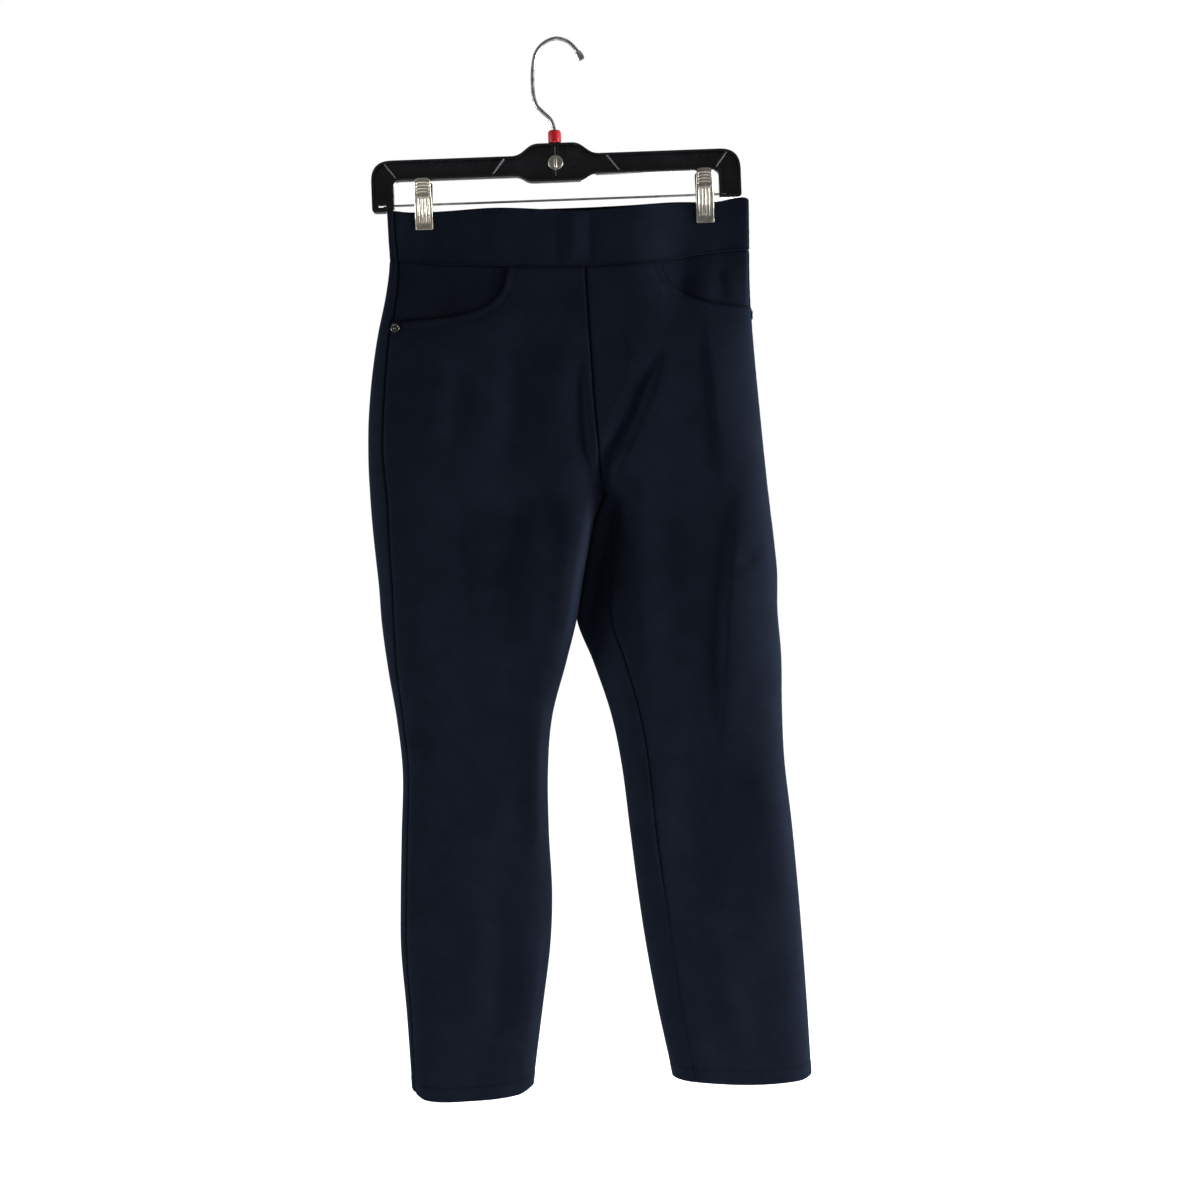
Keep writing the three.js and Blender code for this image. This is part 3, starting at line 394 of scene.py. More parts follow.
def panel_range(side, face, z):
    """Where a panel starts, at its side seam, and ends, at the centre seam and then the inseam."""
    s = section(side, z)
    ahead = 1 if face == "front" else -1
    start = angle_in(s, s["side"])
    first = start + ahead * gap_angle(side, start, z)
    end = angle_in(s, s["inseam"], True)
    last = (end if face == "front" else end - 360) - ahead * gap_angle(side, end, z)
    return first, np.where(s["arc"] < 180, ahead * s["arc"], last)


def panel_angle(side, face, u, z):
    first, last = panel_range(side, face, z)
    return mix(first, last, u)


def crease_depth(rows, side, x, z):
    """Summed depth of a table's creases, each along a curve through its three places."""
    total = np.zeros(np.shape(x))
    t = np.linspace(0, 1, 25)
    for leg, depth, west, east, x0, z0, x1, z1, x2, z2 in zip(*rows.values()):
        if leg == INWARD.get(side):
            continue
        bend_x, bend_z = 2 * x1 - (x0 + x2) / 2, 2 * z1 - (z0 + z2) / 2
        path = np.stack([
            (1 - t) ** 2 * x0 + 2 * t * (1 - t) * bend_x + t * t * x2,
            (1 - t) ** 2 * z0 + 2 * t * (1 - t) * bend_z + t * t * z2,
        ], -1)
        margin = 3 * max(west, east)
        low, high = path.min(0) - margin, path.max(0) + margin
        near = (x > low[0]) & (x < high[0]) & (z > low[1]) & (z < high[1])
        if not near.any():
            continue
        place = np.stack([x[near], z[near]], -1)[:, None, :]
        start, step = path[:-1][None], np.diff(path, axis=0)[None]
        share = np.clip(((place - start) * step).sum(-1) / (step ** 2).sum(-1), 0, 1)
        off = place - (start + share[..., None] * step)
        distance = np.linalg.norm(off, axis=-1)
        nearest = distance.argmin(1)
        pick = np.arange(len(nearest))
        run = (nearest + share[pick, nearest]) / (len(t) - 1)
        flank = np.where(np.abs(off[pick, nearest, 0]) > 1e-6, off[pick, nearest, 0], off[pick, nearest, 1])
        width = np.where(flank < 0, west, east)
        taper = ease(0, 0.32, run) * (1 - ease(0.68, 1, run))
        total[near] += depth * taper * bell(distance[pick, nearest], width)
    return total


def waves(seed, count, shortest, longest):
    """Seeded directions, lengths and phases for gentle unevenness."""
    rng = np.random.default_rng(seed)
    return zip(
        rng.uniform(-0.5, 0.5, count), rng.uniform(shortest, longest, count),
        rng.uniform(0, 2 * math.pi, count), rng.uniform(0.5, 1, count),
    )


def drift(seed, x, z):
    """Slow unevenness of the hanging cloth, longer down than across."""
    total = 0
    for tilt, length, phase, share in waves(seed, 9, 34, 90):
        across = (x * math.cos(tilt) + z * math.sin(tilt) * 0.4) / length
        down = z / (length * 2.6)
        total = total + share * np.sin(2 * math.pi * across + phase) * np.cos(2 * math.pi * down + 2 * phase)
    return total / 9


def ripple(seed, run):
    """Uneven small waves along a seam; a seed of its own may be given for each place."""
    if np.ndim(seed):
        return sum((seed == one) * ripple(int(one), run) for one in np.unique(seed))
    total = 0
    for _, length, phase, share in waves(seed, 5, 6, 19):
        total = total + share * np.sin(2 * math.pi * run / length + phase)
    return total / 3


def seam_dip(seed, distance, run, deep=1.0):
    """The cloth rolls in at a seam, stands up a little beside it and puckers."""
    roll = deep * bell(distance, 1.3) - 0.1 * bell(distance - 4.5, 2.6)
    return roll + 0.13 * ripple(seed, run) * bell(distance, 7)


def scoop_curve(side, lap=0):
    """Points of a pocket's scooped edge, or of the facing's lower edge "lap" under it."""
    knots = SCOOP[side]
    out = np.sign(knots["x"][3] - knots["x"][0])
    x = knots["x"] - out * lap * np.array([1, 1, 0.5, 0])
    z = knots["z"] - lap * np.array([0, 1, 1, 1])
    t = np.linspace(0, 1, 241)[:, None]
    weights = np.hstack([(1 - t) ** 3, 3 * t * (1 - t) ** 2, 3 * t * t * (1 - t), t ** 3])
    return weights @ x, weights @ z


def scoop_height(side, x, lap):
    """Height of the scooped edge at X; far above the cloth where the pocket doesn't reach."""
    line_x, line_z = scoop_curve(side, lap)
    order = np.argsort(line_x)
    height = np.interp(x, line_x[order], line_z[order])
    return np.where((x - line_x[0]) * INWARD[side] > 0, 0.0, height)


def distance_to(line_x, line_z, x, z, far=99.0, reach=14):
    """Distance from each place to a line of points, or "far" where it is out of reach."""
    flat = np.stack([np.ravel(x), np.ravel(z)], -1)
    found = np.full(len(flat), far)
    near = (flat[:, 1] < line_z.max() + reach) & (flat[:, 1] > line_z.min() - reach)
    off = flat[near][:, None, :] - np.stack([line_x, line_z], -1)[None]
    found[near] = np.linalg.norm(off, axis=-1).min(1)
    return found.reshape(np.shape(x))


def hang_folds(side, forward, x, z, from_edge):
    """Depth of the legs' creases and slow unevenness, which fade out at the side folds."""
    calm = 1.1 - 0.9 * ease(-240, -205, z)
    front, back = (
        crease_depth(CREASES[face], side, x, z) + calm * drift(SEEDS[face], x, z)
        for face in ("front", "back")
    )
    if side == "left":
        drop = INNER_DROP * ease(-420, -462, z) * (1 - ease(-535, -610, z))
        front = front + drop * (1 - ease(8, 38, x - section(side, z)["inner"]))
    return ease(0, 12, from_edge) * np.where(forward, front, back)


def band_folds(face, x, z, from_edge):
    """The same for the waistband."""
    word = "band " + face
    depth = crease_depth(CREASES[word], "both", x, z) + 0.4 * drift(SEEDS[word], x * 1.3, z)
    return ease(0, 12, from_edge) * depth


def scoop_lip(side, x, z):
    """The pocket's edge: a doubled lip that stands up, and the groove of its stitching."""
    edge = distance_to(*scoop_curve(side), x, z)
    return 0.3 * bell(edge - STITCH_IN, 1.1) - 0.35 * np.exp(-((edge / 4.2) ** 4))


# ---- meshes ----
def loft(rings, closed=False):
    """Quads over rings of points; open ends are closed across each ring."""
    rings = np.asarray(rings, float)
    count, size = rings.shape[:2]
    i = np.arange(count if closed else count - 1)[:, None]
    j = np.arange(size)[None, :]
    ahead, beside = ((i + 1) % count) * size, (j + 1) % size
    faces = [np.stack([i * size + j, i * size + beside, ahead + beside, ahead + j], -1).reshape(-1, 4)]
    if not closed:
        k = np.arange(size // 2 - 1)
        cap = np.stack([k, k + 1, size - 2 - k, size - 1 - k], -1)
        faces += [cap[:, ::-1], cap + (count - 1) * size]
    return rings.reshape(-1, 3), np.concatenate(faces)


def turned_out(points, faces):
    """The same faces, pointing outwards."""
    a, b, c, d = (points[faces[:, k]] for k in range(4))
    volume = (np.cross(a, b) * c).sum() + (np.cross(a, c) * d).sum()
    return points, faces if volume > 0 else faces[:, ::-1]


def make_piece(name, parts, uv=None, sharp=40, **shares):
    """One mesh object at the origin from closed shells of points in millimetres.

    "shares" are written on the mesh: under each name, a number from 0 to 1 for each point."""
    parts = [turned_out(np.asarray(points, float), np.asarray(faces)) for points, faces in parts]
    starts = np.cumsum([0] + [len(points) for points, _ in parts])
    faces = np.concatenate([part[1] + start for part, start in zip(parts, starts)])
    mesh = bpy.data.meshes.new(name)
    corners = [list(dict.fromkeys(face)) for face in faces.tolist()]
    mesh.from_pydata((np.concatenate([points for points, _ in parts]) * MM).tolist(), [], corners)
    if uv is not None:
        mesh.uv_layers.new(name="cloth").data.foreach_set("uv", (uv[faces.ravel()] * MM).ravel())
    for share, values in shares.items():
        mesh.attributes.new(share, "FLOAT", "POINT").data.foreach_set("value", values)
    mesh.validate()
    mesh.shade_smooth()
    mesh.set_sharp_from_angle(angle=math.radians(sharp))
    piece = bpy.data.objects.new(name, mesh)
    bpy.context.scene.collection.objects.link(piece)
    return piece


def finish_piece(piece, material, slot, *nodes):
    piece.data.materials.clear()
    piece.data.materials.append(material)
    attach(piece, "root")
    if nodes:
        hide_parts(*nodes)
    return piece


RIM_STEPS = 4  # points round a raw edge


def rim(edge, before, under):
    """Points that carry the outer edge round to the inner one in a half circle."""
    across = np.gradient(edge, axis=0)
    away = edge - before
    normal = edge - under
    out = np.cross(across, normal)
    out /= np.maximum(np.linalg.norm(out, axis=1, keepdims=True), 1e-9)
    out *= np.sign((out * away).sum(1, keepdims=True))
    middle, radius = (edge + under) / 2, np.linalg.norm(normal, axis=1, keepdims=True) / 2
    turns = math.pi * (np.arange(RIM_STEPS) + 1) / (RIM_STEPS + 1)
    return np.stack([middle + normal / 2 * math.cos(a) + out * radius * math.sin(a) for a in turns], 1)


def cloth_piece(name, outer, inner, across, groove, material, *nodes):
    """A closed shell of cloth from its outer and inner points, [column][row], with rounded edges.

    "groove" is 1 where the cloth lies deep in a seam and 0 where it is open; it carries painted shade, which
    darkens the knit's colour in the seams.
    """
    top = rim(outer[:, 0], outer[:, 1], inner[:, 0])[:, ::-1]
    low = rim(outer[:, -1], outer[:, -2], inner[:, -1])
    half = RIM_STEPS // 2
    rings = np.concatenate([top[:, half:], outer, low, inner[:, ::-1], top[:, :half]], 1)
    down = np.cumsum(np.linalg.norm(np.diff(outer, axis=1, prepend=outer[:, :1]), axis=-1), axis=1)

    def round_both(sheet):
        """A sheet's values for the whole ring: the top edge, outside, low edge, inside and top edge again."""
        edge = np.repeat(sheet[:, :1], half, 1)
        return np.concatenate([edge, sheet, np.repeat(sheet[:, -1:], RIM_STEPS, 1), sheet[:, ::-1], edge], 1)

    uv = round_both(np.stack([across, down], -1)).reshape(-1, 2)
    # the share groove is painted shade in the seams, which the knit's colour reads
    piece = make_piece(name, [loft(rings)], uv, 62, groove=round_both(groove).ravel())
    return finish_piece(piece, material, "ponte_knit", *nodes)


def spread(count, dense, reach):
    """Places from 0 to 1, closer together near both ends, where the seams are."""
    t = np.linspace(0, 1, 4001)
    weight = dense + (1 - dense) * np.minimum(1, np.minimum(t, 1 - t) / reach)
    total = np.cumsum(1 / weight)
    return np.interp(np.linspace(total[0], total[-1], count), total, t)


# ---- cloth: the leg panels and their facings ----
PANEL_COLUMNS = 112
SCOOP_STEP = 2.4  # between the columns that meet the scooped edge
EDGE_LEVELS = np.linspace(-310, -203, 429)  # heights at which the scooped edge is looked for
BODY_ROWS = 92
LEG_ROWS = 190
HEM_ROWS = 12


def scoop_places(side):
    """Columns, as shares of the front panel's width, that meet the scooped edge at even steps."""
    line_x, line_z = scoop_curve(side)
    run = np.cumsum(np.hypot(np.diff(line_x, prepend=line_x[0]), np.diff(line_z, prepend=line_z[0])))
    at = np.arange(0, run[-1], SCOOP_STEP)
    x, z = np.interp(at, run, line_x), np.interp(at, run, line_z)
    first, last = panel_range(side, "front", z)
    u = (angle_of(side, "front", x, z) - first) / (last - first)
    return np.sort(u[(u > 0.03) & (u < 0.98)])


def seam_height(side, face, u):
    x = bare_skin(side, panel_angle(side, face, u, WAIST_Z), WAIST_Z)[0][..., 0]
    return along(BAND_SEAM, "x", "z", x) - SEAM / 2 - KNIT / 2


def edge_height(side, u, lap=0):
    """Where each column of the front panel meets the scooped edge, or the waistband's seam."""
    seam = seam_height(side, "front", u)
    levels = EDGE_LEVELS[None, :]
    x = bare_skin(side, panel_angle(side, "front", u[:, None], levels), levels)[0][..., 0]
    above = scoop_height(side, x, lap) - levels
    count = np.clip(np.cumprod(above > 0, axis=1).sum(1), 1, len(EDGE_LEVELS) - 1)
    pick = np.arange(len(u))
    low, high = above[pick, count - 1], above[pick, count]
    share = np.clip(low / np.where(low - high == 0, 1, low - high), 0, 1)
    return np.minimum(seam, EDGE_LEVELS[count - 1] + share * (EDGE_LEVELS[1] - EDGE_LEVELS[0]))


def leg_rows(side, face, u, top):
    """Heights of the panel's rows down each column, and the wall at each."""
    x = bare_skin(side, panel_angle(side, face, u, HEM_Z), HEM_Z)[0][..., 0]
    hem = along(HEM_EDGE[side], "x", "z", x) + HEM / 2
    upper = 1 - (1 - np.linspace(0, 1, BODY_ROWS)) ** 0.88
    lower = np.linspace(0, 1, LEG_ROWS)[1:]
    turn_up = hem + HEM_DEPTH - HEM / 2
    leg = mix(CROTCH_Z, turn_up[:, None] + 0.6, lower[None, :])
    tail = mix(turn_up[:, None], hem[:, None], np.linspace(0, 1, HEM_ROWS)[None, :])
    z = np.concatenate([mix(top[:, None], CROTCH_Z, upper[None, :]), leg, tail], 1)
    wall = np.full(z.shape, KNIT)
    wall[:, -HEM_ROWS:] = HEM
    return z, wall


def leg_panel(side, face, material):
    """One leg panel: creased, rolled in at its seams, with a stitched hem."""
    u = spread(PANEL_COLUMNS, 0.25, 0.12)
    if face == "front":
        scoop = scoop_places(side)
        u = np.unique(np.concatenate([u[(u < scoop[0] - 0.004) | (u > scoop[-1] + 0.004)], scoop]))
        top = edge_height(side, u)
    else:
        top = seam_height(side, face, u)
    z, wall = leg_rows(side, face, u, top)
    angle = panel_angle(side, face, u[:, None], z)
    points, from_edge = bare_skin(side, angle, z)
    out = outward_at(side, angle, z)
    across = run_along(points)
    to_end = across[-1] - across
    forward = (angle + 180) % 360 >= 180
    depth = hang_folds(side, forward, points[..., 0], z, from_edge)
    centre = z > CROTCH_Z
    seed = SEEDS[side]
    meeting = np.where(centre, 1, ease(0, 45, CROTCH_Z - z)) * (1 - 0.65 * ease(-780, -860, z))
    seeds = np.where(centre, SEEDS["centre"], seed + 1)
    depth += seam_dip(seed, across, z) + meeting * seam_dip(seeds, to_end, z)
    if face == "front":
        depth += scoop_lip(side, points[..., 0], z)
    joined = (top >= seam_height(side, face, u) - KNIT)[:, None]
    depth += 0.6 * joined * seam_dip(SEEDS["waist"], z[:, :1] - z, across, 0.7)
    from_hem = z - z[:, -1:]
    from_line = from_hem - HEM_LINE
    depth += 0.28 * bell(from_line, 1.2) - 0.25 * ease(15, 11, from_hem)
    depth += 0.15 * ripple(seed + 2, across) * bell(from_line, 7)
    # beside the centre seam both halves must meet, so nothing moves sideways there
    hold = bell(to_end, 14) * ease(CROTCH_Z - 5, CROTCH_Z, z)
    way = out * np.stack([1 - hold, 1 + 0 * hold, 0 * hold], -1)
    outer = points - way * depth[..., None]
    inner = outer - out * wall[..., None]
    # how deep in a seam each place lies: painted shade that darkens the knit's colour along the seams, the
    # hem's stitching and the pocket's scooped edge
    grooves = [
        0.55 * bell(across, 1.5),
        meeting * np.where(centre, 0.8, 0.5) * bell(to_end, np.where(centre, 1.6, 1.3)),
        joined * 0.55 * bell(z[:, :1] - z, 1.4),
        0.3 * bell(from_line, 0.9),
    ]
    if face == "front":
        grooves.append(0.42 * bell(distance_to(*scoop_curve(side), points[..., 0], z), 1.3))
    groove = np.max(grooves, axis=0)
    return cloth_piece(f"leg_{face}_{side}", outer, inner, across, groove, material, f"{face}_leg_{side}")


def pocket_facing(side, material):
    """The facing that shows inside the scooped edge, a little behind it."""
    level = np.array(POCKET_Z)
    first, last = panel_range(side, "front", level)
    end = angle_of(side, "front", SCOOP[side]["x"][0] + 9 * INWARD[side], level)
    end = float((end - first) / (last - first))
    u = np.unique(np.concatenate([np.linspace(0.0, 0.04, 5), np.linspace(0.04, end, 52)]))
    top = seam_height(side, "front", u)
    low = np.minimum(edge_height(side, u, FACING_LAP), top - 14)
    z = mix(top[:, None], low[:, None], np.linspace(0, 1, 34)[None, :])
    angle = panel_angle(side, "front", u[:, None], z)
    points, from_edge = bare_skin(side, angle, z)
    out = outward_at(side, angle, z)
    across = run_along(points)
    start = abs(points[-1:, :, 0] - points[..., 0])
    gape = POCKET_GAPE * (1 - ease(0, 70, start))
    depth = hang_folds(side, True, points[..., 0], z, from_edge) + KNIT + FACING_GAP + gape
    depth += 0.5 * bell(across, 1.5)
    outer = points - out * depth[..., None]
    inner = outer - out * KNIT
    lip = distance_to(*scoop_curve(side), points[..., 0], z)
    # painted shade: the facing goes darker just under the pocket's scooped lip and below the waistband's seam
    groove = np.maximum(0.65 * bell(lip, 2.6), 0.5 * bell(z[:, :1] - z, 1.4))
    return cloth_piece(f"facing_{side}", outer, inner, across, groove, material, f"pocket_facing_{side}")


# ---- cloth: the waistband ----
BAND_COLUMNS = 74
BAND_ROWS = 34


def waistband(face, material):
    """One face of the waistband, from its right end to its left."""
    u = spread(BAND_COLUMNS, 0.3, 0.06)
    halves = []
    for side, places in (("right", u), ("left", u[::-1][1:])):
        x = bare_skin(side, panel_angle(side, face, places, BAND_Z), BAND_Z)[0][..., 0]
        top = along(BAND_TOP[face], "x", "z", x) - BAND / 2
        low = along(BAND_SEAM, "x", "z", x) + SEAM / 2 + BAND / 2
        z = mix(top[:, None], low[:, None], spread(BAND_ROWS, 0.4, 0.1)[None, :])
        angle = panel_angle(side, face, places[:, None], z)
        halves.append((*bare_skin(side, angle, z), outward_at(side, angle, z), z))
    points, from_edge, out, z = (np.concatenate(part) for part in zip(*halves))
    across = run_along(points)
    to_end = across[-1] - across
    depth = band_folds(face, points[..., 0], z, from_edge)
    depth += seam_dip(SEEDS["band right"], across, z) + seam_dip(SEEDS["band left"], to_end, z)
    from_low = z - z[:, -1:]
    depth += 0.16 * ripple(SEEDS["band foot"], across) * bell(from_low, 7)
    outer = points - out * depth[..., None]
    inner = outer - out * BAND
    # painted shade: the band goes darker along its seam at the foot and at its two ends
    groove = np.maximum(0.55 * bell(from_low, 1.2), 0.5 * bell(np.minimum(across, to_end), 1.2))
    return cloth_piece(f"band_{face}", outer, inner, across, groove, material, f"waistband_{face}")


# ---- materials ----
def feed(tree, socket, value):
    """Gives a socket another node's output, or a value of its own."""
    if isinstance(value, bpy.types.NodeSocket):
        tree.links.new(value, socket)
    else:
        socket.default_value = value


def add_node(tree, kind, feeds=None, **settings):
    """A new node with its settings; "feeds" says what each of its inputs is given."""
    node = tree.nodes.new(kind)
    for name, value in settings.items():
        setattr(node, name, value)
    for key, value in (feeds or {}).items():
        feed(tree, node.inputs[key], value)
    return node


def first_of(tree, kind, feeds=None, **settings):
    """The first output of a new node."""
    return add_node(tree, kind, feeds, **settings).outputs[0]


def noise(tree, place, **values):
    return first_of(tree, "ShaderNodeTexNoise", {"Vector": place, **values})


def shader_group(name, vectors, numbers, results):
    """A shader group with vector inputs, number inputs with their usual values, and number outputs."""
    group = bpy.data.node_groups.new(name, "ShaderNodeTree")
    new_socket = group.interface.new_socket
    for socket in vectors:
        new_socket(socket, in_out="INPUT", socket_type="NodeSocketVector")
    for socket, value in numbers.items():
        new_socket(socket, in_out="INPUT", socket_type="NodeSocketFloat").default_value = value
    for socket in results:
        new_socket(socket, in_out="OUTPUT", socket_type="NodeSocketFloat")
    return group, group.nodes.new("NodeGroupInput").outputs, group.nodes.new("NodeGroupOutput").inputs


def knit_group():
    """Interlocking V stitches of a fine knit, as a height, and a soft mottle, as a shade from 0 to 1."""
    group, given, result = shader_group(
        "fine knit", ["Across", "Place"], {"Wale": 0.0011, "Course": 0.0009}, ["Height", "Shade"]
    )

    def work(operation, *values):
        return first_of(group, "ShaderNodeMath", dict(enumerate(values)), operation=operation)

    split = add_node(group, "ShaderNodeSeparateXYZ", {0: given["Across"]}).outputs
    column = work("FRACT", work("DIVIDE", split[0], given["Wale"]))
    lean = work("ABSOLUTE", work("SUBTRACT", column, 0.5))
    row = work("FRACT", work("ADD", work("DIVIDE", split[1], given["Course"]), lean))
    loop, rib = (work("SINE", work("MULTIPLY", share, math.pi)) for share in (row, column))
    feed(group, result["Height"], work("MULTIPLY", loop, work("ADD", rib, 0.4)))
    soft = noise(group, given["Place"], Scale=38, Detail=5, Roughness=0.62)
    fuzz = noise(group, given["Place"], Scale=900, Detail=2)
    feed(group, result["Shade"], work("ADD", work("MULTIPLY", soft, 0.55), work("MULTIPLY", fuzz, 0.45)))
    return group


def wear_group():
    """Handling marks for hard pieces: smudges as a shade and hairline scratches as a height."""
    group, given, result = shader_group(
        "handling", ["Place"], {"Smudge": 60.0, "Scratch": 400.0}, ["Smudges", "Scratches"]
    )
    stretched = first_of(
        group, "ShaderNodeMapping",
        {"Vector": given["Place"], "Rotation": (0, 0.35, 0), "Scale": (0.12, 1, 1)},
    )
    smudges = noise(group, given["Place"], Scale=given["Smudge"], Detail=6, Roughness=0.6)
    feed(group, result["Smudges"], smudges)
    feed(group, result["Scratches"], noise(group, stretched, Scale=given["Scratch"], Detail=3))
    return group


def ramp(tree, source, low, high, dark, light):
    """A colour between dark and light as the source goes from low to high."""
    node = add_node(tree, "ShaderNodeValToRGB", {0: source})
    for stop, place, colour in zip(node.color_ramp.elements, (low, high), (dark, light)):
        stop.position = place
        stop.color = (*colour, 1)
    return node.outputs[0]


def value_range(tree, source, *ends):
    """The source, taken from between the first two ends to between the last two."""
    return first_of(tree, "ShaderNodeMapRange", {0: source, **dict(enumerate(ends, 1))})


def blend(tree, share_name, colour, other):
    """The colour, and the other one where the share written on the mesh is 1."""
    share = add_node(tree, "ShaderNodeAttribute", attribute_name=share_name).outputs["Fac"]
    return add_node(tree, "ShaderNodeMix", {0: share, 6: colour, 7: (*other, 1)}, data_type="RGBA").outputs[2]


def new_material(name, **values):
    """A material, its node tree and its shader's inputs, with these values given."""
    material = bpy.data.materials.new(name)
    material.use_nodes = True
    tree = material.node_tree
    shader = tree.nodes["Principled BSDF"].inputs
    for key, value in values.items():
        shader[key.replace("_", " ")].default_value = value
    return material, tree, shader


def cover(tree, shader, colour, roughness, height, strength, distance):
    """Gives the shader its colour, its roughness and a fine relief."""
    relief = {"Strength": strength, "Distance": distance, "Height": height}
    feed(tree, shader["Base Color"], colour)
    feed(tree, shader["Roughness"], roughness)
    feed(tree, shader["Normal"], first_of(tree, "ShaderNodeBump", relief))


def knit_material(group, name, dark, light, strength):
    """A knit with painted shade: it goes nearly black where the mesh's share "groove" is 1, deep in the
    seams.
    """
    material, tree, shader = new_material(
        name, Specular_IOR_Level=0.03, Sheen_Weight=0.03, Sheen_Roughness=0.5, Sheen_Tint=(0.55, 0.75, 1.0, 1)
    )
    where = add_node(tree, "ShaderNodeTexCoord").outputs
    places = {"Across": where["UV"], "Place": where["Object"]}
    knit = add_node(tree, "ShaderNodeGroup", places, node_tree=group).outputs
    # the painted shadow colour of the seams
    painted_seam_shadow = (dark[0] * 0.12, dark[1] * 0.12, dark[2] * 0.16)
    colour = blend(tree, "groove", ramp(tree, knit["Shade"], 0.32, 0.68, dark, light), painted_seam_shadow)
    roughness = value_range(tree, knit["Shade"], 0.3, 0.7, 0.86, 0.96)
    cover(tree, shader, colour, roughness, knit["Height"], strength, 0.00012)
    return material


def hard_material(group, name, dark, light, rough, scratch, smudge, worn=None, **values):
    """A hard material with handling marks, and "worn" as its colour where the share "rubbed" is 1; on the
    hanger's ribs that paler colour is partly wear and partly a painted highlight.
    """
    material, tree, shader = new_material(name, **values)
    where = add_node(tree, "ShaderNodeTexCoord").outputs
    wear = add_node(
        tree, "ShaderNodeGroup", {"Smudge": smudge, "Place": where["Object"]}, node_tree=group
    ).outputs
    colour = ramp(tree, wear["Smudges"], 0.35, 0.68, dark, light)
    if worn:
        # the paler colour: wear, and on the ribs a painted highlight as well
        colour = blend(tree, "rubbed", colour, worn)
    roughness = value_range(tree, wear["Smudges"], 0.3, 0.7, *rough)
    cover(tree, shader, colour, roughness, wear["Scratches"], scratch, 0.0001)
    return material


# ---- hanger: sizes ----
HANGER_X = -4  # its middle
HANGER_HALF = 177.8
HANGER_DEPTH = 12
RIM_WIDTH = 2.2
WEB = 2
BAR_TOP = -111
BAR_BOTTOM = -130.5
ARM_WIDTH = 21.3
FOOT = {"right": -160.5, "left": -157.4}
NOTCH = 8
CORNER = 20
HUB_TOP = -99.8
HUB_BOTTOM = -136.5
WIRE = 1.7  # the hook's radius
ROD = 1.1  # the rod's radius
ROD_Z = -154
ROD_HALF = 163
BOSS_TOP = -148.5
PIN_Z = -118.4
PIN_RADIUS = 7.2
PIN_SHANK = 5.6  # half length of the shank's end
RIB_DEPTH = HANGER_DEPTH - 1.4
RIB_HALF = 0.65


def curve_through(kind, points, steps):
    """Points of a straight, quadratic or cubic stretch, without its first."""
    t = (np.arange(steps) + 1)[:, None] / steps
    points = np.array(points, float)
    if kind == "line":
        return mix(points[0], points[1], t)
    if kind == "quadratic":
        return (1 - t) ** 2 * points[0] + 2 * t * (1 - t) * points[1] + t * t * points[2]
    weights = ((1 - t) ** 3, 3 * t * (1 - t) ** 2, 3 * t * t * (1 - t), t ** 3)
    return sum(weight * point for weight, point in zip(weights, points))


def hanger_outline(inset):
    """The moulding's outline in X and Z, drawn inwards by "inset"."""
    half = HANGER_HALF - inset
    arm = HANGER_HALF - ARM_WIDTH + inset
    top, bottom = BAR_TOP - inset, BAR_BOTTOM + inset
    hub_top, hub_bottom = HUB_TOP - inset, HUB_BOTTOM + inset
    right_foot, left_foot = FOOT["right"] + inset, FOOT["left"] + inset
    corner = CORNER - inset
    stretches = (
        ("line", (-half, top - corner)),
        ("quadratic", (-half, top), (-half + corner, top)),
        ("line", (-42, top)),
        ("cubic", (-30, top), (-28, hub_top), (-16, hub_top)),
        ("line", (16, hub_top)),
        ("cubic", (28, hub_top), (30, top), (42, top)),
        ("line", (half - corner, top)),
        ("quadratic", (half, top), (half, top - corner)),
        ("line", (half, left_foot + 3)),
        ("quadratic", (half, left_foot), (half - 3, left_foot)),
        ("line", (arm, left_foot)),
        ("line", (arm, bottom - 6)),
        ("quadratic", (arm, bottom), (arm - 6, bottom)),
        ("line", (40, bottom)),
        ("cubic", (31, bottom), (31, hub_bottom), (21, hub_bottom)),
        ("line", (-21, hub_bottom)),
        ("cubic", (-31, hub_bottom), (-31, bottom), (-40, bottom)),
        ("line", (-arm + 6, bottom)),
        ("quadratic", (-arm, bottom), (-arm, bottom - 6)),
        ("line", (-arm, left_foot)),
        ("line", (-arm - NOTCH, left_foot)),
        ("line", (-arm - NOTCH, right_foot)),
        ("line", (-half + 4, right_foot)),
        ("quadratic", (-half, right_foot), (-half, right_foot + 4)),
    )
    at = np.array([(-half, right_foot + 4)], float)
    steps = {"line": 2, "quadratic": 12, "cubic": 14}
    for kind, *ends in stretches:
        at = np.concatenate([at, curve_through(kind, [at[-1], *ends], steps[kind])])
    return at[:-1] + (HANGER_X, 0)


def plate(outline, y_front, y_back, holes=()):
    """A flat plate with holes through it; each triangle names its last point twice."""
    shape = bmesh.new()
    for line in (outline, *holes):
        corners = [shape.verts.new((x, y_front, z)) for x, z in line]
        for a, b in zip(corners, corners[1:] + corners[:1]):
            shape.edges.new((a, b))
    bmesh.ops.triangle_fill(shape, edges=shape.edges[:], use_beauty=True)
    back = bmesh.ops.extrude_face_region(shape, geom=shape.faces[:])
    for item in back["geom"]:
        if isinstance(item, bmesh.types.BMVert):
            item.co.y = y_back
    shape.verts.index_update()
    points = np.array([v.co[:] for v in shape.verts])
    bmesh.ops.recalc_face_normals(shape, faces=shape.faces[:])
    faces = np.array([
        [v.index for v in face.verts] + [face.verts[-1].index] * (4 - len(face.verts)) for face in shape.faces
    ])
    shape.free()
    return points, faces


